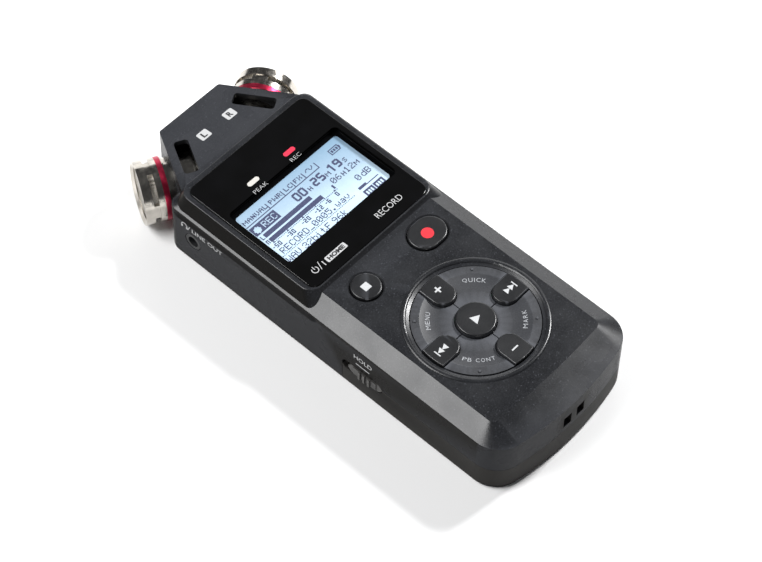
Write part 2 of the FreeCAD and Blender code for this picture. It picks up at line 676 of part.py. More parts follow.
def round_button(label, radius, level, x, y, flange=True):
    stem = rod(label + "_cap", radius, button_height(level), (x, y, BUTTON_BOTTOM))
    if flange:
        collar = rod(label + "_flange", radius + " + button_gap + flange_overlap",
                     "flange_thickness", (x, y, BUTTON_BOTTOM))
        stem = join(label + "_whole", [stem, collar])
    top = V.__dict__[level]
    return node(soften(label + "_soft", stem, V.key_round, level_edges(top)), label)


round_button("stop_button", "stop_radius", "key_level", "-stop_x", "-stop_y")
round_button("play_button", "play_radius", "play_level", 0, "-wheel_y", flange=False)

record_cap = plate("record_cap", "2 * (record_half_straight + record_end_radius)",
                   "2 * record_end_radius", button_height("key_level"),
                   "record_end_radius - 0.01", ("stop_x", "-stop_y", BUTTON_BOTTOM))
skirt = "record_end_radius + button_gap + flange_overlap"
record_flange = plate("record_flange", "2 * (record_half_straight + %s)" % skirt,
                      "2 * (%s)" % skirt, "flange_thickness", "%s - 0.01" % skirt,
                      ("stop_x", "-stop_y", BUTTON_BOTTOM))
record_whole = join("record_whole", [record_cap, record_flange])
node(soften("record_soft", record_whole, V.key_round, level_edges(V.key_level)), "record_button")

# The wheel: four wide buttons between four narrow ones, all under one rim.
wheel_centre = (0, "-wheel_y", BUTTON_BOTTOM)


def envelope(name):
    tall = rod(name + "_tall", "wheel_radius", 4, wheel_centre)
    rim = rod(name + "_rim", "wheel_hole + flange_overlap", "flange_thickness", wheel_centre)
    return join(name + "_envelope", [tall, rim])


def spoke(name, direction, half_width, level):
    """A bar from its round inner end out past the rim, along one axis of the wheel."""
    quarter = FreeCAD.Rotation(point(0, 0, 1), 90 * direction)
    height = button_height(level)
    bar = box(name + "_bar", ("wheel_hole + 2 - shield_round_centre", "2 * (%s)" % half_width,
                              height), ("shield_round_centre", "-(%s)" % half_width, 0))
    end = rod(name + "_end", half_width, height, ("shield_round_centre", 0, 0))
    whole = join(name + "_spoke", [bar, end])
    place(whole, wheel_centre, quarter)
    return whole


def dish():
    """A shallow round bowl, cut into the middle of the four wide buttons."""
    top = V.quadrant_level
    run = V.band_radius - V.dish_inner
    bowl = (run ** 2 + V.dish_depth ** 2) / (2 * V.dish_depth)
    floor = top - V.dish_depth
    lean = math.asin(run / bowl)
    middle = point(V.dish_inner + bowl * math.sin(lean / 2), 0,
                   floor + bowl * (1 - math.cos(lean / 2)))
    slope = Part.Arc(point(V.band_radius, 0, top), middle, point(V.dish_inner, 0, floor)).toShape()
    outline = [point(V.dish_inner, 0, floor), point(0, 0, floor), point(0, 0, top + 1),
               point(V.band_radius, 0, top + 1), point(V.band_radius, 0, top)]
    wire = Part.Wire([slope] + Part.makePolygon(outline).Edges)
    return Part.Face(wire).revolve(point(0, 0, 0), point(0, 0, 1), 360)


narrow_names = ["skip_forward_button", "plus_button", "skip_back_button", "minus_button"]
for turn, label in enumerate(narrow_names):
    bar = spoke(label, turn, "shield_half_width", "shield_level")
    blank = common(label + "_blank", envelope(label), bar)
    node(soften(label + "_soft", blank, 0.35, level_edges(V.shield_level)), label)

wide_names = ["quick_button", "menu_button", "playback_button", "mark_button"]
for turn, label in enumerate(wide_names):
    quarter = FreeCAD.Rotation(point(0, 0, 1), 90 * turn)
    sector = rod(label + "_sector", "wheel_lip", button_height("quadrant_level"), wheel_centre,
                 angle=90)
    sector.Placement = FreeCAD.Placement(sector.Placement.Base, quarter)
    blank = common(label + "_blank", envelope(label), sector)
    gaps = [spoke(label + "_gap%d" % i, turn + i, "shield_half_width + button_gap",
                  "shield_level") for i in (0, 1)]
    gaps.append(rod(label + "_hub", "play_radius + button_gap", 4, wheel_centre))
    gaps.append(box(label + "_gap_x", ("2 * wheel_lip", "spoke_gap", 4),
                    ("-wheel_lip", "-wheel_y - spoke_gap / 2", BUTTON_BOTTOM)))
    gaps.append(box(label + "_gap_y", ("spoke_gap", "2 * wheel_lip", 4),
                    ("-spoke_gap / 2", "-wheel_y - wheel_lip", BUTTON_BOTTOM)))
    bowl = shaped(label + "_dish", dish())
    bowl.Placement = FreeCAD.Placement(point(0, -V.wheel_y), FreeCAD.Rotation())
    carved = cut(label + "_carved", blank, gaps + [bowl])
    nib_turn = math.radians(45 + 90 * turn)
    nib = rod(label + "_nib", "nib_radius", "nib_height + 0.3",
              ("nib_orbit * %.6f" % math.cos(nib_turn),
               "nib_orbit * %.6f - wheel_y" % math.sin(nib_turn), "quadrant_level - 0.3"))
    node(join(label + "_whole", [carved, nib]), label)

# -------------------------------------------------------------- main board
board_blank = plate("board_blank", "2 * board_half_width", "board_high + board_low",
                    "board_thickness", 1, (0, "(board_high - board_low) / 2", "board_level"))
board_holes = [rod("board_hole%d" % i, "board_screw_radius + 0.1", 3, (x, y, "board_level - 1"))
               for i, (x, y) in enumerate(BOARD_POSTS)]
node(cut("main_board_drilled", board_blank, board_holes), "main_board")

switch_places = [("-stop_x", "-stop_y"), ("stop_x", "-stop_y"), ("0", "-wheel_y")]
for turn in range(8):
    angle = math.radians(45 * turn)
    switch_places.append(("shield_round_centre * %.6f" % math.cos(angle),
                          "shield_round_centre * %.6f - wheel_y" % math.sin(angle)))
tacts = []
for i, (x, y) in enumerate(switch_places):
    case = box("tact_case%d" % i, ("2 * tact_half_width", "2 * tact_half_width", "tact_body"),
               (x + " - tact_half_width", y + " - tact_half_width", BOARD_TOP))
    plunger = rod("tact_plunger%d" % i, "plunger_radius", "plunger_level - (%s)" % BOARD_TOP,
                  (x, y, BOARD_TOP))
    tacts.append(join("tact%d" % i, [case, plunger]))
node(compound("tacts", tacts), "tact_switches")

chips = [box("processor", (12, 12, 1.2), (-12, 8, "board_level - 1.2")),
         box("memory", (8, 11, 1), (-11, 24, "board_level - 1")),
         box("converter", (6, 6, 0.9), (1, 36, "board_level - 0.9")),
         box("regulator", (5, 4, 1.1), (3, -4, "board_level - 1.1"))]
node(compound("chips", chips), "board_chips")

# ------------------------------------------------------------- hold switch
knob_left = "-body_half_width"
knob_y = "-hold_middle - hold_slot_half + 0.25"
knob_bar = box("hold_bar", ("hold_slot_depth - 0.05", "2 * hold_knob_half", "hold_knob_height"),
               (knob_left, knob_y, "hold_level - hold_knob_height / 2"))
doc.recompute()
knob_bevel = doc.addObject("Part::Chamfer", "hold_bar_bevel")
knob_bevel.Base = knob_bar
knob_bevel.Edges = [(i, V.hold_bevel, V.hold_bevel) for i, edge in enumerate(knob_bar.Shape.Edges, 1)
                    if edge.BoundBox.XLength > 0.01]
ridges = [box("hold_ridge%d" % i, ("hold_ridge + 0.1", 0.7, "hold_knob_height"),
              (knob_left + " - hold_ridge", "%s + hold_knob_half + %s" % (knob_y, 1.7 * i - 0.35),
               "hold_level - hold_knob_height / 2")) for i in (-1, 0, 1)]
pad = box("hold_pad", (0.3, 8.2, "hold_knob_height - 0.4"),
          (knob_left + " - 0.25", knob_y + " + hold_knob_half - 4.1",
           "hold_level - hold_knob_height / 2 + 0.2"))
stem = box("hold_stem", ("wall + 0.9 - hold_slot_depth", "2 * hold_stem_half", 2),
           (knob_left + " + hold_slot_depth - 0.1", knob_y + " + hold_knob_half - hold_stem_half",
            "hold_level - 1"))
node(join("hold_knob_whole", [knob_bevel, pad, stem] + ridges), "hold_knob")

hold_case = box("hold_case", (4.2, 9, 5), (knob_left + " + wall + 0.5", "-hold_middle - 4.5",
                                           "hold_level - 2.5"))
hold_channel = box("hold_channel", (1.5, 7, 2.6), (knob_left + " + wall + 0.2",
                                                   "-hold_middle - 3.5", "hold_level - 1.3"))
node(cut("hold_switch_cut", hold_case, [hold_channel]), "hold_switch")


# ------------------------------------------------------------------ sockets
def jack(label):
    """A 3.5 mm socket lying along +X, its mouth at the origin."""
    body = box(label + "_body", ("jack_length - 1.2", "2 * jack_half_width", "2 * jack_half_width"),
               (1.9, "-jack_half_width", "-jack_half_width"))
    nose = rod(label + "_nose", "jack_nose", 2.1, (0, 0, 0), "+x")
    bore = rod(label + "_bore", "jack_bore", "jack_length", (-0.01, 0, 0), "+x")
    return cut(label + "_cut", join(label + "_outer", [body, nose]), [bore])


phones = jack("phones")
place(phones, ("-body_half_width + 0.1", "phones_y", "jack_level"))
node(phones, "headphone_jack")
line_in = jack("line_in")
place(line_in, (0, "head_end - 0.1", "input_level"), FreeCAD.Rotation(point(0, 0, 1), -90))
node(line_in, "mic_input_jack")
node(plate("input_board", 7, 12, 1, 0.5, (0, "head_end - 9.5", "input_level + jack_half_width")),
     "input_board")

usb_corner = ("body_half_width - 0.1 - usb_depth", "usb_y - usb_half_width",
              "usb_level - usb_height / 2")
usb_shell = box("usb_shell", ("usb_depth", "2 * usb_half_width", "usb_height"), usb_corner)
usb_soft = soften("usb_soft", usb_shell, V.usb_height / 2 - 0.05,
                  lambda edge: edge.BoundBox.XLength > 1)
usb_room = box("usb_room", ("usb_depth", "2 * usb_half_width - 1.4", "usb_height - 0.8"),
               ("body_half_width - usb_depth + 0.9", "usb_y - usb_half_width + 0.7",
                "usb_level - usb_height / 2 + 0.4"))
usb_tongue = box("usb_tongue", ("usb_depth - 1.6", "2 * usb_half_width - 2.6", 0.7),
                 ("body_half_width - usb_depth + 0.6", "usb_y - usb_half_width + 1.3",
                  "usb_level - 0.35"))
node(join("usb_whole", [cut("usb_hollow", usb_soft, [usb_room]), usb_tongue]), "usb_socket")

CARD_INNER = "body_half_width - 1.45 - card_length"
card_case = box("card_case", ("card_length - 0.9", "2 * card_half_width + 3", 1.85),
                (CARD_INNER + " - 0.4", "card_y - card_half_width - 1.5", "board_level - 1.9"))
card_room = box("card_room", ("card_length + 2", "2 * card_half_width + 0.2",
                              "card_thickness + 0.2"),
                (CARD_INNER + " - 0.05", "card_y - card_half_width - 0.1",
                 "card_level - card_thickness / 2 - 0.1"))
node(cut("card_case_cut", card_case, [card_room]), "card_socket")
node(plate("memory_card", "card_length", "2 * card_half_width", "card_thickness", 0.8,
           (CARD_INNER + " + card_length / 2", "card_y", "card_level - card_thickness / 2")),
     "memory_card")

HINGE_X = "body_half_width - card_door_thickness"
door_leaf = box("card_leaf", ("card_door_thickness", "2 * card_door_half",
                              "card_door_top - hinge_level"),
                (HINGE_X, "card_y - card_door_half", "hinge_level"))
door_knuckle = rod("card_knuckle", "hinge_knuckle", "2 * card_door_half",
                   (HINGE_X, "card_y - card_door_half", "hinge_level"), "+y")
door_bore = rod("card_bore", "hinge_pin_radius + hinge_clearance", "2 * card_door_half + 1",
                (HINGE_X, "card_y - card_door_half - 0.5", "hinge_level"), "+y")
door_nail = box("card_nail", (0.5, 6, 0.6), ("body_half_width - 0.35", "card_y - 3",
                                             "card_door_top - 1.1"))
node(cut("card_door_cut", join("card_door_whole", [door_leaf, door_knuckle]),
         [door_bore, door_nail]), "card_door")
node(rod("card_pin", "hinge_pin_radius", "2 * card_door_half + 2",
         (HINGE_X, "card_y - card_door_half - 1", "hinge_level"), "+y"), "card_door_pin")


# -------------------------------------------------------------- microphones
def ring(name, outer, inner, start, length):
    """A ring on the microphone axis, start measured back from its mouth."""
    at = (0, 0, "-(%s) - (%s)" % (start, length))
    solid = rod(name + "_solid", outer, length, at)
    hole = rod(name + "_hole", inner, "%s + 0.2" % length, (0, 0, at[2] + " - 0.1"))
    return cut(name, solid, [hole])


def microphone(side_name, side):
    tag = side_name + "_mic_"
    bore = "mic_radius - guard_wall"
    front = ring(tag + "rim", "mic_radius", bore, 0, "guard_rim")
    rear = ring(tag + "rear_rim", "mic_radius - 0.06", bore, "guard_rim + guard_slot",
                "guard_rear")
    waist = ring(tag + "waist", "mic_radius - 0.25", bore, "guard_rim - 0.1", "guard_slot + 0.2")
    rib_low = "-guard_rim - guard_slot - 0.5"
    bars = [box(tag + "bar_x", ("2 * mic_radius + 2", "2 * rib_half_width", 3),
                ("-mic_radius - 1", "-rib_half_width", rib_low)),
            box(tag + "bar_y", ("2 * rib_half_width", "2 * mic_radius + 2", 3),
                ("-rib_half_width", "-mic_radius - 1", rib_low))]
    cross = join(tag + "bars", bars)
    place(cross, (0, 0, 0), FreeCAD.Rotation(point(0, 0, 1), side * V.rib_turn))
    ribs = common(tag + "ribs", waist, cross)
    bevel = doc.addObject("Part::Cone", tag + "bevel")
    bind(bevel, Radius1=bore, Radius2="mic_radius - 0.2", Height=0.8)
    place(bevel, (0, 0, -0.79))
    guard = cut(tag + "guard_cut", join(tag + "guard_whole", [front, rear, ribs]), [bevel])
    accent = ring(tag + "accent", "accent_radius", bore, "guard_rim + guard_slot + guard_rear",
                  "accent_width")
    collar_start = "guard_rim + guard_slot + guard_rear + accent_width"
    tube_length = "tube_end - (%s)" % collar_start
    tube_inner = "tube_radius - tube_wall"
    barrel = rod(tag + "barrel", "tube_radius", tube_length, (0, 0, "-tube_end"))
    collar = rod(tag + "collar", "collar_radius", "collar_width",
                 (0, 0, "-(%s) - collar_width" % collar_start))
    spigot = rod(tag + "spigot", bore + " - 0.06", "accent_width - 0.2",
                 (0, 0, "-(%s)" % collar_start))
    hollow = rod(tag + "hollow", tube_inner, 30, (0, 0, -25))
    tube = cut(tag + "tube_cut", join(tag + "tube_whole", [barrel, collar, spigot]), [hollow])
    cup = rod(tag + "cup", "mesh_radius", "mesh_end - mesh_recess", (0, 0, "-mesh_end"))
    cup_room = rod(tag + "cup_room", "mesh_radius - mesh_wall",
                   "mesh_end - mesh_recess - mesh_wall + 1", (0, 0, "-mesh_end - 1"))
    mesh = cut(tag + "mesh_cut", cup, [cup_room])
    can = rod(tag + "can", "capsule_radius", "capsule_end - capsule_front",
              (0, 0, "-capsule_end"))
    lug = rod(tag + "lug", "capsule_radius / 2", 0.6, (0, 0, "-capsule_end - 0.5"))
    capsule = join(tag + "capsule_whole", [can, lug])
    holder = ring(tag + "holder_ring", tube_inner + " - 0.05", "capsule_radius + 0.02",
                  "holder_front", "holder_end - holder_front")
    for piece, label in ((guard, "guard"), (accent, "accent_ring"), (tube, "tube"),
                         (mesh, "mesh"), (capsule, "capsule"), (holder, "holder")):
        piece.Placement = mic_frame(side)
        node(piece, tag + label)


doc.recompute()
for side_name, side in SIDES.items():
    microphone(side_name, side)

# ------------------------------------------------------ speaker and battery
cone = rod("speaker_frame", "speaker_radius", 2, (0, "speaker_y", "rear_plate + 0.1"))
magnet = rod("speaker_magnet", "speaker_radius / 2", "speaker_height",
             (0, "speaker_y", "rear_plate + 0.1"))
node(join("speaker_whole", [cone, magnet]), "speaker")

bush = rod("bush", "tripod_outer", "tripod_depth", (0, "tripod_y", 0))
bush_bore = rod("bush_bore", "tripod_bore", "tripod_depth + 1", (0, "tripod_y", -0.5))
node(cut("bush_cut", bush, [bush_bore]), "tripod_bush")

INNER_LOW = "-tub_low + tub_wall + contact_thickness"
INNER_HIGH = "-tub_high - tub_wall - contact_thickness"


def cell(label, x, start, nub_first):
    """An AA cell lying along Y from start; its nub points to whichever end is named."""
    can_start = start + " + cell_nub" if nub_first else start
    nub_start = start if nub_first else start + " + cell_length - cell_nub"
    can = rod(label + "_can", "cell_radius", "cell_length - cell_nub", (x, can_start, "cell_level"),
              "+y")
    nub = rod(label + "_nub", "cell_nub_radius", "cell_nub", (x, nub_start, "cell_level"), "+y")
    return node(join(label + "_whole", [can, nub]), label)


cell("left_battery", "-cell_x", INNER_HIGH + " - cell_length", nub_first=False)
cell("right_battery", "cell_x", INNER_LOW, nub_first=True)


def cell_spring(name, x, start, length):
    """Conical contact spring wound from round wire."""
    first = (x, start + " + spring_wire", "cell_level")
    coil = doc.addObject("Part::Helix", name + "_coil")
    bind(coil, Radius="spring_radius", Height=length + " - 2 * spring_wire",
         Pitch="(%s - 2 * spring_wire) / spring_turns" % length, Angle="-spring_taper")
    place(coil, first, TURNS["+y"])
    section = doc.addObject("Part::Circle", name + "_section")
    bind(section, Radius="spring_wire")
    place(section, (x + " + spring_radius",) + first[1:])
    wound = doc.addObject("Part::Sweep", name)
    wound.Sections = [section]
    wound.Spine = coil
    wound.Solid = True
    wound.Frenet = True
    return wound


spring_length = "(-tub_high + tub_low - 2 * tub_wall - 2 * contact_thickness - cell_length)"
springs = [cell_spring("left_spring", "-cell_x", INNER_LOW, spring_length),
           cell_spring("right_spring", "cell_x", "%s - %s" % (INNER_HIGH, spring_length),
                       spring_length)]
node(compound("springs", springs), "battery_springs")
contacts = [box("contact_low", ("4 * cell_x - 4", "contact_thickness", 9),
                ("-2 * cell_x + 2", "-tub_low + tub_wall", "cell_level - 4.5"))]
for name, x in (("left", "-cell_x"), ("right", "cell_x")):
    contacts.append(box("contact_high_" + name, (9, "contact_thickness", 9),
                        (x + " - 4.5", "-tub_high - tub_wall - contact_thickness",
                         "cell_level - 4.5")))
node(compound("contacts", contacts), "battery_contacts")

# ------------------------------------------------------------------- screws
case_screws = []
for i, (x, y) in enumerate(POSTS):
    level = screw_head_level(y)
    head = rod("case_head%d" % i, "screw_head_radius", "screw_head", (x, y, level))
    shank = rod("case_shank%d" % i, "screw_shank", "screw_length", (x, y, level))
    cross = box("case_cross%d" % i, (2, 0.5, 0.5), (x - 1, y - 0.25, level - 0.01))
    cross_b = box("case_cross_b%d" % i, (0.5, 2, 0.5), (x - 0.25, y - 1, level - 0.01))
    case_screws.append(cut("case_screw%d" % i, join("case_blank%d" % i, [head, shank]),
                           [cross, cross_b]))
node(compound("case_screw_set", case_screws), "case_screws")

board_screws = []
for i, (x, y) in enumerate(BOARD_POSTS):
    head = rod("board_head%d" % i, "board_screw_head", 0.7, (x, y, "board_level - 0.7"))
    shank = rod("board_shank%d" % i, "board_screw_radius - 0.05", "board_screw_length",
                (x, y, "board_level - 0.5"))
    board_screws.append(join("board_screw%d" % i, [head, shank]))
node(compound("board_screw_set", board_screws), "board_screws")


# ------------------------------------------------------------- write it all
def check_and_write():
    doc.recompute()
    for obj in doc.Objects:
        if "Invalid" in obj.State or "Error" in obj.State:
            raise RuntimeError("%s failed: %s" % (obj.Name, obj.State))
    os.makedirs("parts", exist_ok=True)
    for obj in nodes:
        shape = obj.Shape
        if shape.isNull() or not shape.isValid() or not shape.Solids:
            raise RuntimeError("%s has no sound solid" % obj.Label)
        shape.exportStep("parts/%s.step" % obj.Label)
        print("%-24s %d solid(s) %9.1f mm3" % (obj.Label, len(shape.Solids), shape.Volume))


check_and_write()
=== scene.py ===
import json
import math

import bmesh
import bpy
from mathutils import Matrix, Vector


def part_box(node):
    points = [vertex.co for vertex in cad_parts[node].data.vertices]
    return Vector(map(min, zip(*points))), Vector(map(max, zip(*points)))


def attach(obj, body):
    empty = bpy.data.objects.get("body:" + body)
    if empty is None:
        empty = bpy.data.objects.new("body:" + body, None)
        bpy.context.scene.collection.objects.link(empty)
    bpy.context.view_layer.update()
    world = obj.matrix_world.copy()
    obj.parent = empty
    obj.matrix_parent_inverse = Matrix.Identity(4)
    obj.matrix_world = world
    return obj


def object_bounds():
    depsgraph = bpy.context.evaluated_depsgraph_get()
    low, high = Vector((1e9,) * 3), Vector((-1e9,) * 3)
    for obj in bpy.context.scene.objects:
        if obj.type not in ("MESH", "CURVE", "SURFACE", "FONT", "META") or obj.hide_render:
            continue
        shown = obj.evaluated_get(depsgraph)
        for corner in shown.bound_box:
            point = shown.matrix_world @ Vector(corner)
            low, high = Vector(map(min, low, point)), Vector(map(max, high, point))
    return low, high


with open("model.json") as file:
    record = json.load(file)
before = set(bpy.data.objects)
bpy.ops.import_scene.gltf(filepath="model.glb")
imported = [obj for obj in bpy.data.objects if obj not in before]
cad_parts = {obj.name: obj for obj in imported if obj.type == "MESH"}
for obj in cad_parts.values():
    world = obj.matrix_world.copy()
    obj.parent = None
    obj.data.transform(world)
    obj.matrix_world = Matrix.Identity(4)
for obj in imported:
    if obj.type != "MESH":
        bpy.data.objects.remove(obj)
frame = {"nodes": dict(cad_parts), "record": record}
cad_low, cad_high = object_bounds()
MM = 0.001
CASE = "recorder"

# -------------------------------------------- places and levels, in millimetres
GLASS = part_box("display_window")[1].z / MM
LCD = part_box("lcd_panel")[1].z / MM
FACE = 22.4
# Height of printed ink over the surface that carries it.
SKIN = 0.03
# The top of the head slopes down from HEAD_START to HEAD_END.
HEAD_START, HEAD_END, HEAD_DROP = 49.2, 69.5, 2.1
WHEEL_Y = -37.38
LEFT_WALL = -27.15
# Clear part of the lens over the display: half sizes, middle and corner radius.
CLEAR_HALF_X, CLEAR_HALF_Y, CLEAR_MID_Y, CLEAR_ROUND = 21.2, 11.75, 21.87, 1.6
# Span of the display's light field.
LCD_TOP_Y, LCD_LOW_Y, LCD_HALF_X = 32.0, 11.0, 20.0
# Lower corner of the dished keys round the wheel, and the bend of their bowl.
DISH_INNER, DISH_FLOOR, DISH_BOWL = 9.6, 21.5, 25.5

# ---------------------------------------------------------- shared look values
COOL = (0.93, 0.98, 1.12)
WARM = (1.05, 1.0, 0.94)
# Refraction of plain plastic, and the weaker one of the matt side walls.
PLASTIC_BEND, WALL_BEND = 1.5, 1.12
GRAIN_SCALE = 2600.0


# --------------------------------------------------------------- materials
def new_material(name):
    material = bpy.data.materials.new(name)
    material.use_nodes = True
    tree = material.node_tree
    return material, tree.nodes, tree.links, tree.nodes["Principled BSDF"]


def ramp(nodes, links, source, stops):
    """Colour ramp over a 0 to 1 source."""
    out = nodes.new("ShaderNodeValToRGB")
    bar = out.color_ramp
    bar.elements[0].position, bar.elements[0].color = stops[0][0], stops[0][1]
    bar.elements[1].position, bar.elements[1].color = stops[-1][0], stops[-1][1]
    for place, colour in stops[1:-1]:
        bar.elements.new(place).color = colour
    links.new(source, out.inputs["Fac"])
    return out.outputs["Color"]


def noise(nodes, links, scale, detail=4.0, rough=0.55, stretch=(1, 1, 1)):
    """Noise over the object's own coordinates, which are metres."""
    place = nodes.new("ShaderNodeTexCoord")
    spread = nodes.new("ShaderNodeMapping")
    spread.inputs["Scale"].default_value = stretch
    grain = nodes.new("ShaderNodeTexNoise")
    grain.inputs["Scale"].default_value = scale
    grain.inputs["Detail"].default_value = detail
    grain.inputs["Roughness"].default_value = rough
    links.new(place.outputs["Object"], spread.inputs["Vector"])
    links.new(spread.outputs["Vector"], grain.inputs["Vector"])
    return grain.outputs["Fac"]


def grey(level, tint=(1.0, 1.0, 1.0)):
    return (level * tint[0], level * tint[1], level * tint[2], 1.0)


def bump(nodes, links, shader, source, strength, distance):
    node = nodes.new("ShaderNodeBump")
    node.inputs["Strength"].default_value = strength
    node.inputs["Distance"].default_value = distance
    links.new(source, node.inputs["Height"])
    links.new(node.outputs["Normal"], shader.inputs["Normal"])


def painted_edge_highlight(nodes, links, colour, bright, amount):
    """Painted highlight: lightens the pointed outer edges, standing in for light caught on the
    rounded edges.
    """
    shape = nodes.new("ShaderNodeNewGeometry")
    edge_highlight = ramp(nodes, links, shape.outputs["Pointiness"],
                [(0.52, (0, 0, 0, 1)), (0.60, (amount, amount, amount, 1))])
    mix = nodes.new("ShaderNodeMix")
    mix.data_type = "RGBA"
    links.new(edge_highlight, mix.inputs["Factor"])
    links.new(colour, mix.inputs["A"])
    mix.inputs["B"].default_value = bright
    return mix.outputs["Result"]


def level_mask(nodes, links):
    """0 on steep walls and 1 on faces that look mostly up."""
    shape = nodes.new("ShaderNodeNewGeometry")
    split = nodes.new("ShaderNodeSeparateXYZ")
    links.new(shape.outputs["Normal"], split.inputs["Vector"])
    span = nodes.new("ShaderNodeMapRange")
    span.inputs["From Min"].default_value = 0.5
    span.inputs["From Max"].default_value = 0.8
    links.new(split.outputs["Z"], span.inputs["Value"])
    return span.outputs["Result"]


def plastic(name, level, tint, rough, speck=0.25, grain_depth=0.00002, fleck=None,
            edge_highlight=0.0, specular=0.5, wall=None, refraction=PLASTIC_BEND):
    """Moulded or painted plastic: mottled colour, fine grain and light flecks.

    level is the grey of the faces and wall that of the steep sides, where they differ.
    """
    material, nodes, links, shader = new_material(name)
    cloud = noise(nodes, links, 90.0, 3.0)
    base = ramp(nodes, links, cloud, [(0.3, grey(level * (1 - speck * 0.3), tint)),
                                      (0.7, grey(level * (1 + speck * 0.3), tint))])
    fine = noise(nodes, links, GRAIN_SCALE, 2.0, 0.6)
    spots = ramp(nodes, links, fine, [(0.0, grey(1 - speck)), (0.5, grey(1.0)),
                                      (0.72, grey(1 + speck * 1.5))])
    blend = nodes.new("ShaderNodeMix")
    blend.data_type = "RGBA"
    blend.blend_type = "MULTIPLY"
    blend.inputs["Factor"].default_value = 1.0
    links.new(base, blend.inputs["A"])
    links.new(spots, blend.inputs["B"])
    colour = blend.outputs["Result"]
    if fleck:
        chips = noise(nodes, links, GRAIN_SCALE * 0.8, 1.0, 0.4)
        mask = ramp(nodes, links, chips, [(0.0, (0, 0, 0, 1)), (0.69, (0, 0, 0, 1)),
                                          (0.74, (1, 1, 1, 1))])
        over = nodes.new("ShaderNodeMix")
        over.data_type = "RGBA"
        links.new(mask, over.inputs["Factor"])
        links.new(colour, over.inputs["A"])
        over.inputs["B"].default_value = grey(fleck, tint)
        colour = over.outputs["Result"]
    if wall:
        above = level_mask(nodes, links)
        plain = nodes.new("ShaderNodeMix")
        plain.data_type = "RGBA"
        links.new(above, plain.inputs["Factor"])
        plain.inputs["A"].default_value = grey(wall, WARM)
        links.new(colour, plain.inputs["B"])
        colour = plain.outputs["Result"]
        bend = nodes.new("ShaderNodeMapRange")
        bend.inputs["To Min"].default_value = WALL_BEND
        bend.inputs["To Max"].default_value = PLASTIC_BEND
        links.new(above, bend.inputs["Value"])
        links.new(bend.outputs["Result"], shader.inputs["IOR"])
    # Painted highlight: the edges are lightened towards a grey three times the level.
    if edge_highlight:
        colour = painted_edge_highlight(nodes, links, colour, grey(level * 3.0 + 0.03, tint), edge_highlight)
    links.new(colour, shader.inputs["Base Color"])
    sheen = ramp(nodes, links, cloud, [(0.3, grey(rough - 0.04)), (0.7, grey(rough + 0.05))])
    links.new(sheen, shader.inputs["Roughness"])
    shader.inputs["Specular IOR Level"].default_value = specular
    shader.inputs["IOR"].default_value = refraction
    bump(nodes, links, shader, fine, 0.35, grain_depth)
    return material


def metal(name, colour, rough, streak=(1, 1, 1), scale=900.0, depth=0.00001, patina=0.25):
    """Plated or brushed metal with uneven polish."""
    material, nodes, links, shader = new_material(name)
    cloud = noise(nodes, links, 260.0, 4.0)
    dull = tuple(c * (1 - patina) for c in colour)
    base = ramp(nodes, links, cloud, [(0.35, dull + (1.0,)), (0.68, tuple(colour) + (1.0,))])
    links.new(base, shader.inputs["Base Color"])
    fine = noise(nodes, links, scale, 3.0, 0.6, streak)
    sheen = ramp(nodes, links, fine, [(0.25, grey(max(rough - 0.07, 0.04))),
                                      (0.75, grey(rough + 0.1))])
    links.new(sheen, shader.inputs["Roughness"])
    shader.inputs["Metallic"].default_value = 1.0
    bump(nodes, links, shader, fine, 0.3, depth)
    return material


def woven(name, bright, dark, pitch):
    """Fine woven wire: crossed sine waves give the wires and the holes between them."""
    material, nodes, links, shader = new_material(name)
    place = nodes.new("ShaderNodeTexCoord")
    split = nodes.new("ShaderNodeSeparateXYZ")
    links.new(place.outputs["Object"], split.inputs["Vector"])
    waves = []
    for axis, other in (("Z", "Y"), ("Y", "Z")):
        scaled = nodes.new("ShaderNodeMath")
        scaled.operation = "MULTIPLY"
        scaled.inputs[1].default_value = 2 * math.pi / pitch
        links.new(split.outputs[axis], scaled.inputs[0])
        wave = nodes.new("ShaderNodeMath")
        wave.operation = "SINE"
        links.new(scaled.outputs[0], wave.inputs[0])
        waves.append(wave.outputs[0])
    weave = nodes.new("ShaderNodeMath")
    weave.operation = "MAXIMUM"
    links.new(waves[0], weave.inputs[0])
    links.new(waves[1], weave.inputs[1])
    base = ramp(nodes, links, weave.outputs[0], [(0.0, tuple(dark) + (1.0,)),
                                                 (0.75, tuple(bright) + (1.0,))])
    links.new(base, shader.inputs["Base Color"])
    shader.inputs["Metallic"].default_value = 0.9
    shader.inputs["Roughness"].default_value = 0.42
    bump(nodes, links, shader, weave.outputs[0], 0.8, 0.00006)
    return material


def printed(name, colour, rough=0.5, glow=0.0):
    """Screen-printed ink or a lamp's frosted face."""
    material, nodes, links, shader = new_material(name)
    cloud = noise(nodes, links, 3200.0, 3.0)
    low = tuple(c * 0.9 for c in colour)
    base = ramp(nodes, links, cloud, [(0.25, low + (1.0,)), (0.7, tuple(colour) + (1.0,))])
    links.new(base, shader.inputs["Base Color"])
    shader.inputs["Roughness"].default_value = rough
    if glow:
        links.new(base, shader.inputs["Emission Color"])
        shader.inputs["Emission Strength"].default_value = glow
    return material


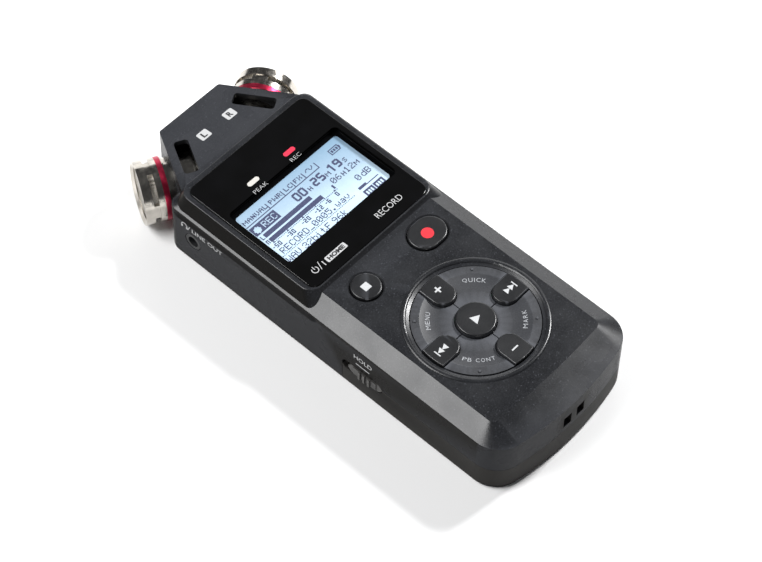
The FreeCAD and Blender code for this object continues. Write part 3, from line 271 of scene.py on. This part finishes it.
def window_material():
    """Black gloss lens with a clear area over the display."""
    material, nodes, links, shader = new_material("lens_black")
    cloud = noise(nodes, links, 120.0, 2.0)
    base = ramp(nodes, links, cloud, [(0.3, grey(0.0025)), (0.7, grey(0.0035, (1, 1, 1.1)))])
    links.new(base, shader.inputs["Base Color"])
    smear = noise(nodes, links, 60.0, 5.0)
    sheen = ramp(nodes, links, smear, [(0.3, grey(0.05)), (0.8, grey(0.1))])
    links.new(sheen, shader.inputs["Roughness"])
    shader.inputs["Specular IOR Level"].default_value = 0.42
    place = nodes.new("ShaderNodeTexCoord")
    split = nodes.new("ShaderNodeSeparateXYZ")
    links.new(place.outputs["Object"], split.inputs["Vector"])
    sides = []
    for axis, middle, half in (("X", 0.0, CLEAR_HALF_X), ("Y", CLEAR_MID_Y, CLEAR_HALF_Y)):
        shift = nodes.new("ShaderNodeMath")
        shift.operation = "SUBTRACT"
        shift.inputs[1].default_value = middle * MM
        links.new(split.outputs[axis], shift.inputs[0])
        size = nodes.new("ShaderNodeMath")
        size.operation = "ABSOLUTE"
        links.new(shift.outputs[0], size.inputs[0])
        past = nodes.new("ShaderNodeMath")
        past.operation = "SUBTRACT"
        past.inputs[1].default_value = (half - CLEAR_ROUND) * MM
        links.new(size.outputs[0], past.inputs[0])
        kept = nodes.new("ShaderNodeMath")
        kept.operation = "MAXIMUM"
        kept.inputs[1].default_value = 0.0
        links.new(past.outputs[0], kept.inputs[0])
        square = nodes.new("ShaderNodeMath")
        square.operation = "POWER"
        square.inputs[1].default_value = 2.0
        links.new(kept.outputs[0], square.inputs[0])
        sides.append(square.outputs[0])
    total = nodes.new("ShaderNodeMath")
    links.new(sides[0], total.inputs[0])
    links.new(sides[1], total.inputs[1])
    outside = nodes.new("ShaderNodeMath")
    outside.operation = "GREATER_THAN"
    outside.inputs[1].default_value = (CLEAR_ROUND * MM) ** 2
    links.new(total.outputs[0], outside.inputs[0])
    links.new(outside.outputs[0], shader.inputs["Alpha"])
    return material


def display_material(level):
    """Back-lit display ground: pale blue, cooler at the top, brighter at the bottom left."""
    material, nodes, links, shader = new_material("display_ground")
    place = nodes.new("ShaderNodeTexCoord")
    split = nodes.new("ShaderNodeSeparateXYZ")
    links.new(place.outputs["Object"], split.inputs["Vector"])
    along = nodes.new("ShaderNodeMapRange")
    along.inputs["From Min"].default_value = LCD_TOP_Y * MM
    along.inputs["From Max"].default_value = LCD_LOW_Y * MM
    links.new(split.outputs["Y"], along.inputs["Value"])
    across = nodes.new("ShaderNodeMapRange")
    across.inputs["From Min"].default_value = LCD_HALF_X * MM
    across.inputs["From Max"].default_value = -LCD_HALF_X * MM
    across.inputs["To Max"].default_value = 0.35
    links.new(split.outputs["X"], across.inputs["Value"])
    mix = nodes.new("ShaderNodeMath")
    links.new(along.outputs[0], mix.inputs[0])
    links.new(across.outputs[0], mix.inputs[1])
    cloud = noise(nodes, links, 500.0, 2.0)
    soft = nodes.new("ShaderNodeMath")
    soft.operation = "MULTIPLY_ADD"
    soft.inputs[1].default_value = 0.12
    links.new(cloud, soft.inputs[0])
    links.new(mix.outputs[0], soft.inputs[2])
    base = ramp(nodes, links, soft.outputs[0], [(0.0, (0.165, 0.275, 0.385, 1.0)),
                                                (0.6, (0.31, 0.42, 0.53, 1.0)),
                                                (1.0, (0.47, 0.60, 0.71, 1.0))])
    links.new(base, shader.inputs["Base Color"])
    links.new(base, shader.inputs["Emission Color"])
    shader.inputs["Emission Strength"].default_value = level
    shader.inputs["Roughness"].default_value = 0.35
    return material


# The edge amounts below paint highlights onto the edges of the case, keys and knob.
finish = {
    "case": plastic("case_satin", 0.014, COOL, 0.27, 0.5, 0.00003, fleck=0.05, edge_highlight=0.3,
                    specular=0.35, wall=0.009),
    "rear": plastic("rear_satin", 0.010, WARM, 0.42, 0.2, 0.00002, edge_highlight=0.3,
                    refraction=WALL_BEND),
    "key_black": plastic("key_satin_black", 0.009, COOL, 0.33, 0.2, 0.00001, edge_highlight=0.9),
    "key_grey": plastic("key_satin_grey", 0.031, COOL, 0.38, 0.25, 0.00001, edge_highlight=0.4),
    "knob": plastic("knob_grained", 0.016, WARM, 0.45, 0.3, 0.00003, edge_highlight=0.5),
    "socket": plastic("socket_moulded", 0.008, COOL, 0.5, 0.2),
    "chip": plastic("chip_moulded", 0.012, COOL, 0.5, 0.3),
    "rubber": plastic("holder_rubber", 0.012, COOL, 0.75, 0.3),
    "board": plastic("board_mask", 0.06, (0.25, 1.3, 0.55), 0.35, 0.3),
    "guide": printed("light_guide_frosted", (0.8, 0.8, 0.78), 0.3),
    "cell": plastic("cell_jacket", 0.2, (0.9, 0.95, 1.1), 0.3, 0.15),
    "nickel": metal("champagne_nickel", (0.62, 0.585, 0.53), 0.17),
    "red": metal("crimson_anodised", (0.52, 0.03, 0.075), 0.34),
    "capsule": metal("capsule_satin", (0.6, 0.59, 0.57), 0.3),
    "mesh": woven("wire_mesh", (0.55, 0.52, 0.47), (0.03, 0.028, 0.026), 0.00042),
    "steel": metal("stamped_steel", (0.6, 0.6, 0.6), 0.28),
    "dark_steel": metal("black_steel", (0.08, 0.08, 0.085), 0.35),
    "brass": metal("turned_brass", (0.62, 0.46, 0.2), 0.25),
    "window": window_material(),
    "lcd": display_material(0.13),
    "white": printed("ink_white", (0.46, 0.465, 0.47), 0.5),
    "legend": printed("ink_grey", (0.33, 0.34, 0.36), 0.5),
    "icon": printed("ink_silver", (0.50, 0.51, 0.52), 0.45),
    "black": printed("ink_black", (0.012, 0.012, 0.014), 0.5),
    "mask": plastic("mask_black", 0.003, COOL, 0.09, 0.2, 0.0, specular=0.42),
    "pixel": printed("display_dots", (0.05, 0.058, 0.12), 0.4),
    "lit_red": printed("lamp_red", (0.56, 0.03, 0.065), 0.35, 0.2),
    "lit_white": printed("lamp_white", (0.56, 0.545, 0.51), 0.35),
    # The record key's red dot is print with no lamp behind it, so its faint glow is painted light.
    "record_dot_glow": printed("record_red_painted_glow", (0.60, 0.022, 0.035), 0.4, 0.1),
}
by_slot = {
    "case_plastic": "case", "rear_plastic": "rear", "window": "window", "lcd": "lcd",
    "light_guide": "guide", "key_black": "key_black", "key_grey": "key_grey", "board": "board",
    "chip": "chip", "switch_steel": "steel", "socket_plastic": "socket", "nickel": "nickel",
    "accent_red": "red", "mesh_metal": "mesh", "capsule_metal": "capsule",
    "holder_rubber": "rubber", "brass_bush": "brass", "cell_jacket": "cell",
    "spring_steel": "steel", "screw_steel": "dark_steel", "speaker_metal": "steel",
}


def dress(obj, material):
    """Gives every slot of a node the same material."""
    if not obj.data.materials:
        obj.data.materials.append(material)
    for i in range(len(obj.data.materials)):
        obj.data.materials[i] = material


for row in frame["record"]["subparts"]:
    dress(frame["nodes"][row["node"]], finish[by_slot[row["material_slot"]]])
dress(frame["nodes"]["hold_knob"], finish["knob"])


# ------------------------------------------------------------ small pieces
def piece(name, mesh, material, body=CASE):
    obj = bpy.data.objects.new(name, mesh)
    bpy.context.scene.collection.objects.link(obj)
    mesh.materials.append(finish[material])
    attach(obj, body)
    return obj


def from_bmesh(name, build):
    work = bmesh.new()
    build(work)
    bmesh.ops.remove_doubles(work, verts=work.verts, dist=1e-7)
    bmesh.ops.recalc_face_normals(work, faces=work.faces)
    mesh = bpy.data.meshes.new(name)
    work.to_mesh(mesh)
    work.free()
    return mesh


def flat_place(x, y, z, turn=0.0):
    """Frame for print on a level face: x right, y up the page."""
    return Matrix.Translation(Vector((x, y, z)) * MM) @ Matrix.Rotation(math.radians(turn), 4, "Z")


def left_place(y, z):
    """Frame for print on the left wall: it reads from the microphones to the keys."""
    columns = Matrix(((0, 0, -1), (-1, 0, 0), (0, 1, 0))).to_4x4()
    return Matrix.Translation(Vector((LEFT_WALL - SKIN, y, z)) * MM) @ columns


def head_place(x, y):
    """Frame for print on the sloping top of the head."""
    slope = math.atan2(HEAD_DROP, HEAD_END - HEAD_START)
    z = FACE - (y - HEAD_START) * math.tan(slope)
    return (Matrix.Translation(Vector((x, y, z + 2 * SKIN)) * MM)
            @ Matrix.Rotation(-slope, 4, "X"))


def extrude(work, outline, depth, place):
    """Thin solid from an outline in millimetres."""
    top = [work.verts.new(place @ Vector((x * MM, y * MM, 0))) for x, y in outline]
    low = [work.verts.new(place @ Vector((x * MM, y * MM, -depth * MM))) for x, y in outline]
    work.faces.new(top)
    work.faces.new(low[::-1])
    count = len(outline)
    for i in range(count):
        work.faces.new((top[i], low[i], low[(i + 1) % count], top[(i + 1) % count]))


def rounded(width, height, radius, steps=6, at=(0, 0)):
    points = []
    for cx, cy, start in ((1, 1, 0), (-1, 1, 90), (-1, -1, 180), (1, -1, 270)):
        for i in range(steps + 1):
            a = math.radians(start + 90 * i / steps)
            points.append((at[0] + cx * (width / 2 - radius) + radius * math.cos(a),
                           at[1] + cy * (height / 2 - radius) + radius * math.sin(a)))
    return points


def shape_piece(name, outlines, place, material, body=CASE, depth=0.02):
    def build(work):
        for outline in outlines:
            extrude(work, outline, depth, place)
    return piece(name, from_bmesh(name, build), material, body)


# Height of the built-in font's capitals as a share of its size.
CAPITAL = 0.70


def text_mesh(name, words, width, height, place, bold=0.0):
    """Lettering as a thin mesh, stretched to an exact width and capital height."""
    curve = bpy.data.curves.new(name, "FONT")
    curve.body = words
    curve.size = height * MM / CAPITAL
    curve.offset = bold * MM
    curve.extrude = 0.01 * MM
    curve.resolution_u = 3
    holder = bpy.data.objects.new(name + "_curve", curve)
    bpy.context.scene.collection.objects.link(holder)
    mesh = bpy.data.meshes.new_from_object(holder.evaluated_get(
        bpy.context.evaluated_depsgraph_get()))
    bpy.data.objects.remove(holder)
    bpy.data.curves.remove(curve)
    across = [vertex.co.x for vertex in mesh.vertices]
    upward = [vertex.co.y for vertex in mesh.vertices]
    middle = Vector((max(across) + min(across), max(upward) + min(upward), 0)) / 2
    fit = Matrix.Diagonal((width * MM / (max(across) - min(across)),
                           height * MM / (max(upward) - min(upward)), 1, 1))
    mesh.transform(place @ fit @ Matrix.Translation(-middle))
    return mesh


def label(name, words, width, height, place, material="white", bold=0.0):
    """Flat print on the case or the lens."""
    mesh = text_mesh(name, words, width, height, place, bold)
    mesh.materials.clear()
    return piece(name, mesh, material, CASE)


def dish_place(radius, angle, turn, tops):
    """Frame on the dished keys; tops is 1 when letters point out, -1 when they point in."""
    run = radius - DISH_INNER
    level = DISH_FLOOR + run * run / (2 * DISH_BOWL)
    x = radius * math.cos(math.radians(angle))
    y = radius * math.sin(math.radians(angle)) + WHEEL_Y
    tilt = Matrix.Rotation(tops * math.atan(run / DISH_BOWL), 4, "X")
    return flat_place(x, y, level + 1.5 * SKIN, turn) @ tilt


# Share of the arc each letter takes; the others take PLAIN_LETTER.
LETTER_WIDTHS = {"I": 0.42, " ": 0.5, "M": 1.2, "Q": 1.08}
PLAIN_LETTER, LETTER_FILL, NARROW_STROKE = 0.95, 0.76, 0.2


def curved_label(name, words, length, height, radius, middle, tops, body):
    """Letters set round the wheel over a given arc length."""
    work = bmesh.new()
    spans = [LETTER_WIDTHS.get(letter, PLAIN_LETTER) for letter in words]
    unit = length / sum(spans)
    run = -length / 2
    for letter, span in zip(words, spans):
        swing = math.degrees((run + span * unit / 2) / radius)
        run += span * unit
        if letter == " ":
            continue
        angle = middle - tops * swing
        place = dish_place(radius, angle, angle - tops * 90, tops)
        ink = NARROW_STROKE if letter == "I" else span * unit * LETTER_FILL
        mesh = text_mesh(name + "_letter", letter, ink, height, place)
        work.from_mesh(mesh)
        bpy.data.meshes.remove(mesh)
    mesh = bpy.data.meshes.new(name)
    work.to_mesh(mesh)
    work.free()
    return piece(name, mesh, "legend", body)


# ------------------------------------------------------------ display dots
# Display letters, a word for each row of dots from the top.
FONT = {
    "A": "01110 10001 10001 11111 10001 10001 10001",
    "B": "11110 10001 10001 11110 10001 10001 11110",
    "C": "01110 10001 10000 10000 10000 10001 01110",
    "E": "11111 10000 10000 11110 10000 10000 11111",
    "F": "11111 10000 10000 11110 10000 10000 10000",
    "R": "11110 10001 10001 11110 10100 10010 10001",
    "V": "10001 10001 10001 10001 10001 01010 00100",
    "W": "10001 10001 10001 10101 10101 11011 10001",
    "0": "01110 10001 10011 10101 11001 10001 01110",
    "1": "00100 01100 00100 00100 00100 00100 01110",
    "2": "01110 10001 00001 00110 01000 10000 11111",
    "3": "01110 10001 00001 00110 00001 10001 01110",
    "5": "11111 10000 11110 00001 00001 10001 01110",
    "6": "00110 01000 10000 11110 10001 10001 01110",
    "9": "01110 10001 10001 01111 00001 00010 01100",
    "a": "00000 00000 01110 00001 01111 10001 01111",
    "b": "10000 10000 11110 10001 10001 10001 11110",
    "d": "00001 00001 01111 10001 10001 10001 01111",
    "i": "01000 00000 11000 01000 01000 01000 11100",
    "k": "10000 10000 10010 10100 11000 10100 10010",
    "t": "01000 01000 11100 01000 01000 01001 00110",
    "v": "00000 00000 10001 10001 10001 01010 00100",
    "w": "00000 00000 10001 10001 10101 10101 01010",
    "_": "00000 00000 00000 00000 00000 00000 11111",
    ".": "00000 00000 00000 00000 00000 01100 01100",
    "D": "11110 10001 10001 10001 10001 10001 11110",
    "O": "01110 10001 10001 10001 10001 10001 01110",
}
SMALL = {
    "0": "111 101 101 101 111", "1": "010 110 010 010 111", "2": "111 001 111 100 111",
    "3": "111 001 111 001 111", "5": "111 100 111 001 111", "6": "111 100 111 101 111",
    "-": "00 00 11 00 00", "A": "0110 1001 1111 1001 1001", "C": "0111 1000 1000 1000 0111",
    "F": "1111 1000 1110 1000 1000", "H": "1001 1001 1111 1001 1001",
    "L": "1000 1000 1000 1000 1111", "M": "10001 11011 10101 10001 10001",
    "N": "1001 1101 1111 1011 1001", "P": "1110 1001 1110 1000 1000",
    "R": "1110 1001 1110 1010 1001", "S": "0111 1000 0110 0001 1110",
    "U": "1001 1001 1001 1001 0110", "W": "10001 10001 10101 11011 10001",
    "X": "1001 1001 0110 1001 1001", "~": "0011100001 0100010001 1000010010 0000001100 0000000000",
}
# Strokes of the tall clock digits: x, y, width and height of each bar.
STROKES = {
    "a": (1, 0, 5, 2), "b": (5, 1, 2, 4), "c": (5, 5, 2, 4), "d": (1, 8, 5, 2),
    "e": (0, 5, 2, 4), "f": (0, 1, 2, 4), "g": (1, 4, 5, 2), "h": (3, 0, 2, 10), "i": (1, 1, 2, 2),
}
# The strokes that make each tall digit.
TALL = {"0": "abcdef", "1": "hi", "2": "abged", "5": "afgcd", "9": "abcdfg"}


# Dots left between letters, dots for a space, and the step of the tall digits.
GAP, BLANK, TALL_STEP = 1, 3, 8


class Dots:
    """A dot display of 128 by 64. Blocks are given as column, row, width and height, with
    row 0 at the top."""

    def __init__(self):
        self.on = set()

    def block(self, x, y, width, height, lit=True):
        for i in range(x, x + width):
            for j in range(y, y + height):
                (self.on.add if lit else self.on.discard)((i, j))

    def frame(self, x, y, width, height):
        self.block(x, y, width, 1)
        self.block(x, y + height - 1, width, 1)
        self.block(x, y, 1, height)
        self.block(x + width - 1, y, 1, height)

    def write(self, words, x, y, font=FONT, lit=True):
        for letter in words:
            rows = font.get(letter)
            if rows is None:
                x += BLANK
                continue
            grid = rows.split()
            for j, row in enumerate(grid):
                for i, dot in enumerate(row):
                    if dot == "1":
                        self.block(x + i, y + j, 1, 1, lit)
            x += len(grid[0]) + GAP


def tall_digits(dots, words, x, y):
    """Clock digits ten dots high with double strokes."""
    for letter in words:
        for stroke in TALL[letter]:
            left, top, width, height = STROKES[stroke]
            dots.block(x + left, y + top, width, height)
        x += TALL_STEP


def centred(dots, words, middle, y):
    """Small letters set about a column."""
    width = sum(len(SMALL[letter].split()[0]) + GAP for letter in words) - GAP
    dots.write(words, round(middle - width / 2), y, SMALL)


def status_row(dots):
    """Tabs along the top, each with a rule on its right, and the battery mark."""
    for words, x, rule in (("MANUAL", 1, 31), ("PWR", 35, 51), ("LC", 55, 65), ("FX", 68, 79),
                           ("~", 83, 96)):
        dots.write(words, x, 0, SMALL)
        dots.block(rule, 0, 1, 7)
    dots.block(0, 7, 97, 1)
    dots.frame(115, 0, 12, 7)
    dots.block(127, 2, 1, 3)
    for i in range(3):
        dots.block(117 + 3 * i, 2, 2, 3)


def clock_rows(dots):
    """State box, elapsed time and time left."""
    dots.block(0, 10, 32, 11)
    for i, low in enumerate((3, 1, 1, 0, 0, 1, 1, 3)):
        dots.block(2 + i, 12 + low, 1, 8 - 2 * low, False)
    dots.write("REC", 13, 12, lit=False)
    tall_digits(dots, "00", 54, 11)
    dots.write("H", 71, 16, SMALL)
    tall_digits(dots, "25", 78, 11)
    dots.write("M", 94, 16, SMALL)
    tall_digits(dots, "19", 100, 11)
    dots.write("S", 117, 16, SMALL)
    dots.write("06", 92, 24)
    dots.write("H", 105, 26, SMALL)
    dots.write("12", 110, 24)
    dots.write("M", 122, 26, SMALL)


def meter_rows(dots):
    """Two level bars over their scale."""
    dots.block(5, 23, 61, 5)
    dots.block(5, 30, 69, 5)
    dots.block(1, 23, 1, 5)
    dots.block(1, 27, 3, 1)
    dots.block(1, 30, 1, 5)
    dots.block(3, 30, 1, 5)
    dots.block(1, 30, 3, 1)
    for i in range(5, 90, 2):
        dots.block(i, 36, 1, 1)
    for words, middle in (("-50", 6), ("-30", 24), ("-20", 44), ("-12", 61), ("-6", 73),
                          ("0", 86)):
        centred(dots, words, middle, 38)
        dots.block(middle, 35, 1, 2)
    dots.block(88, 30, 2, 5)
    dots.write("0", 110, 38)
    dots.write("dB", 117, 38)


def file_rows(dots):
    """File name, its format, the level slider and the two soft keys."""
    dots.write("RECORD_0005.wav", 3, 45)
    for i in range(0, 96, 2):
        dots.block(i, 53, 1, 1)
    dots.write("WAV 32bitF 96k", 0, 56)
    dots.block(103, 52, 25, 1)
    dots.block(103, 50, 10, 2)
    for x in (103, 116):
        dots.block(x, 56, 12, 8)
        for i in (2, 5, 8):
            dots.block(x + i, 58, 2, 4, False)


def display_dots():
    dots = Dots()
    for rows in (status_row, clock_rows, meter_rows, file_rows):
        rows(dots)
    return dots


# Corner of the dots on the display and their pitch, in millimetres.
DOTS_LEFT, DOTS_TOP, DOT_PITCH = -19.8, 30.1, 0.297


def display_pixels():
    """Each lit dot of the display as its own square cell."""
    work = bmesh.new()
    for i, j in sorted(display_dots().on):
        x = DOTS_LEFT + i * DOT_PITCH
        y = DOTS_TOP - (j + 1) * DOT_PITCH
        corners = [work.verts.new(Vector((x + a * DOT_PITCH, y + b * DOT_PITCH, LCD + SKIN)) * MM)
                   for a, b in ((0, 0), (1, 0), (1, 1), (0, 1))]
        work.faces.new(corners)
    mesh = bpy.data.meshes.new("display_pixels")
    work.to_mesh(mesh)
    work.free()
    return piece("display_pixels", mesh, "pixel", CASE)


display_pixels()


def mask_mesh(outer, inner, z):
    """A flat frame between two outlines with the same number of corners."""
    work = bmesh.new()
    rings = [[work.verts.new(Vector((x, y, z)) * MM) for x, y in line] for line in (outer, inner)]
    count = len(outer)
    for i in range(count):
        after = (i + 1) % count
        work.faces.new((rings[0][i], rings[0][after], rings[1][after], rings[1][i]))
    mesh = bpy.data.meshes.new("mask")
    work.to_mesh(mesh)
    work.free()
    return mesh


# Black printed border just over the display, seen through the clear lens.
piece("display_mask", mask_mesh(rounded(43.2, 25.2, 0.5, at=(0, CLEAR_MID_Y)),
                                rounded(40.1, 20.85, 1.0, at=(0.05, CLEAR_MID_Y)),
                                LCD + 2 * SKIN),
      "mask", CASE)

# ------------------------------------------------------- print on the lens
TOP = GLASS + SKIN
LAMP_Y = 36.5
HOME_X, HOME_Y = -10.1, 3.85
for name, x, material in (("peak", -8.2, "lit_white"), ("record", 5.97, "lit_red")):
    shape_piece(name + "_lamp_face", [rounded(4.1, 1.5, 0.74)],
                flat_place(x, LAMP_Y, TOP), material)
label("peak_label", "PEAK", 5.0, 1.25, flat_place(-8.35, 33.6, TOP), bold=-0.03)
label("rec_label", "REC", 3.8, 1.2, flat_place(5.85, 33.95, TOP), bold=-0.03)
label("record_label", "RECORD", 9.9, 1.95, flat_place(10.9, 3.95, TOP), bold=-0.02)


RING_STEPS = 24


def broken_ring(outer, inner, start, sweep):
    """Part of a flat ring, with its ends left open."""
    ring = []
    for radius, order in ((outer, 1), (inner, -1)):
        turns = [math.radians(start + sweep * i / RING_STEPS) for i in range(RING_STEPS + 1)]
        ring += [(radius * math.cos(a), radius * math.sin(a)) for a in turns[::order]]
    return ring


def power_symbol():
    """Power mark: a broken ring with a bar, a slash and an upright."""
    stem = bar(0.0, 0.7, 0.22, 1.2)
    slash = [(1.3, -1.15), (1.52, -1.15), (2.42, 1.4), (2.2, 1.4)]
    upright = bar(3.2, -0.15, 0.28, 1.7)
    return [broken_ring(1.08, 0.84, 130, 280), stem, slash, upright]


def bar(x, y, width, height):
    """Outline of a plain bar about its middle."""
    return [(x - width / 2, y - height / 2), (x + width / 2, y - height / 2),
            (x + width / 2, y + height / 2), (x - width / 2, y + height / 2)]


shape_piece("power_mark", power_symbol(), flat_place(-18.15, 3.9, TOP), "white")
shape_piece("home_plate", [rounded(7.5, 1.95, 0.35)], flat_place(HOME_X, HOME_Y, TOP), "white")
label("home_label", "HOME", 6.1, 1.35, flat_place(HOME_X, HOME_Y, TOP + SKIN), "black",
      bold=0.09)

# ----------------------------------------------------------- head and walls
CHANNEL_Y = 59.0
for words, x in (("L", -4.6), ("R", 5.5)):
    plate = head_place(x, CHANNEL_Y)
    shape_piece("channel_plate_" + words, [rounded(3.65, 3.1, 0.5)], plate, "white")
    label("channel_label_" + words, words, 1.45, 1.9,
          plate @ Matrix.Translation((0, 0, SKIN * MM)), "black", bold=0.08)

LINE_LEVEL = 14.95
label("line_out_label", "LINE OUT", 11.5, 1.6, left_place(35.95, LINE_LEVEL), "white")
shape_piece("line_out_slash", [[(-0.55, -0.95), (-0.3, -0.95), (0.55, 0.95), (0.3, 0.95)]],
            left_place(42.9, LINE_LEVEL), "white")


def headphone_mark():
    """Headphones: an open ring with a cup at each end."""
    cups = [rounded(0.6, 1.0, 0.2, 3, (side * 0.95, -0.55)) for side in (-1, 1)]
    return [broken_ring(1.15, 0.85, -20, 220)] + cups


shape_piece("headphone_mark", headphone_mark(), left_place(44.6, LINE_LEVEL), "white")
label("hold_label", "HOLD", 6.4, 1.75, left_place(-21.8, 15.5), "white")
shape_piece("hold_bar", [rounded(4.9, 0.3, 0.1, 3)], left_place(-21.75, 12.6), "white")


# ------------------------------------------------------------------- icons
def triangle(x, size, flip=1):
    """Arrow head about x; it points right, or left when flip is -1."""
    half = size * 0.56
    base, tip = x - flip * size / 2, x + flip * size / 2
    points = [(base, -half), (tip, 0.0), (base, half)]
    return points if flip > 0 else points[::-1]


def plus(size, thick):
    """Outline of a plus sign."""
    arm, half = size / 2, thick / 2
    quarter = [(arm, -half), (arm, half), (half, half)]
    return [(x * c - y * s, x * s + y * c) for c, s in ((1, 0), (0, 1), (-1, 0), (0, -1))
            for x, y in quarter]


def key_top(name):
    """Top of a key, in millimetres."""
    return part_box(name)[1].z / MM


# Radius of the four corner keys, and of the round dot on the record key.
KEYS = 13.6
DOT_RADIUS = 1.8
icons = [
    ("plus", (0, KEYS), [plus(2.2, 0.5)], "plus_button"),
    ("minus", (0, -KEYS), [bar(0, 0, 2.3, 0.45)], "minus_button"),
    ("forward", (KEYS, 0), [triangle(-1.0, 1.7), triangle(0.65, 1.7), bar(1.75, 0, 0.35, 2.2)],
     "skip_forward_button"),
    ("back", (-KEYS, 0), [triangle(1.0, 1.7, -1), triangle(-0.65, 1.7, -1),
                          bar(-1.75, 0, 0.35, 2.2)], "skip_back_button"),
    ("play", (0.15, 0), [triangle(0, 2.6)], "play_button"),
]
for name, (x, y), outlines, key in icons:
    shape_piece(name + "_icon", outlines, flat_place(x, WHEEL_Y + y, key_top(key) + SKIN), "icon",
                key)
shape_piece("stop_icon", [rounded(2.3, 2.3, 0.12, 2)],
            flat_place(-12.4, -9.2, key_top("stop_button") + SKIN), "icon", "stop_button")
dot_outline = [(DOT_RADIUS * math.cos(math.radians(a)), DOT_RADIUS * math.sin(math.radians(a)))
               for a in range(0, 360, 6)]
shape_piece("record_icon", [dot_outline], flat_place(11.95, -9.3, key_top("record_button") + SKIN),
            "record_dot_glow", "record_button")

for name, words, length, radius, middle, tops in (
        ("quick", "QUICK", 6.8, 13.15, 43.7, 1), ("menu", "MENU", 6.0, 12.9, 134, 1),
        ("playback", "PB CONT", 9.1, 12.6, -135, -1), ("mark", "MARK", 6.2, 13.15, -45, -1)):
    curved_label(name + "_legend", words, length, 1.25, radius, middle, tops, name + "_button")

# ------------------------------------------------------------ floor and light
FLOOR_SIZE, FLOOR_GAP = 6.0, 0.00002
floor_mesh = from_bmesh("floor", lambda work: bmesh.ops.create_grid(
    work, x_segments=1, y_segments=1, size=FLOOR_SIZE))
floor = bpy.data.objects.new("floor", floor_mesh)
bpy.context.scene.collection.objects.link(floor)
floor.location.z = cad_low.z - FLOOR_GAP
floor_material, floor_nodes, floor_links, floor_shader = new_material("floor_pale")
floor_cloud = noise(floor_nodes, floor_links, 3.0, 2.0)
floor_links.new(ramp(floor_nodes, floor_links, floor_cloud,
                     [(0.3, grey(0.90)), (0.7, grey(0.92))]), floor_shader.inputs["Base Color"])
floor_shader.inputs["Roughness"].default_value = 0.8
floor_mesh.materials.append(floor_material)

# The lamps face the middle of the recorder.
AIM = Vector((0, 0, 0.012))


def lamp(name, direction, distance, width, height, power):
    """Soft box that faces the recorder, in metres and watts."""
    data = bpy.data.lights.new(name, "AREA")
    data.shape = "RECTANGLE"
    data.size = width
    data.size_y = height
    data.energy = power
    obj = bpy.data.objects.new(name, data)
    bpy.context.scene.collection.objects.link(obj)
    way = Vector(direction).normalized()
    obj.location = AIM + way * distance
    obj.rotation_mode = "QUATERNION"
    obj.rotation_quaternion = way.to_track_quat("Z", "Y")
    return obj


lamp("softbox_left", (-0.47, 0.37, 0.81), 1.0, 0.6, 0.5, 11)
lamp("band_right", (0.74, 0.62, 0.25), 1.2, 1.2, 0.6, 3.8)
lamp("card_high", (0.70, 0.38, 0.60), 1.0, 0.3, 0.2, 0.45)
lamp("softbox_corner", (0.71, -0.12, 0.69), 0.9, 0.14, 0.14, 10)
lamp("softbox_low", (-0.60, -0.79, 0.12), 1.0, 0.3, 0.3, 1.6)

world = bpy.data.worlds.new("studio")
bpy.context.scene.world = world
world.use_nodes = True
sky = world.node_tree.nodes["Background"]
sky.inputs["Color"].default_value = (0.95, 0.97, 1.0, 1.0)
sky.inputs["Strength"].default_value = 0.06

scene = bpy.context.scene
scene.view_settings.view_transform = "Standard"
scene.view_settings.look = "None"

camera_data = bpy.data.cameras.new("camera")
camera_data.sensor_width = 36.0
camera_data.lens = 133.65
camera_data.clip_start = 0.01
camera = bpy.data.objects.new("camera", camera_data)
scene.collection.objects.link(camera)
# The camera looks down from the lower left: the way back to it, its right and its place.
back = Vector((-0.43318, -0.38082, 0.81690)).normalized()
up = back.cross(Vector((0.67617, -0.73659, 0.01517))).normalized()
right = up.cross(back)
place = Vector((-0.33472, -0.29784, 0.63837))
camera.matrix_world = Matrix((
    (right.x, up.x, back.x, place.x), (right.y, up.y, back.y, place.y),
    (right.z, up.z, back.z, place.z), (0, 0, 0, 1)))
scene.camera = camera
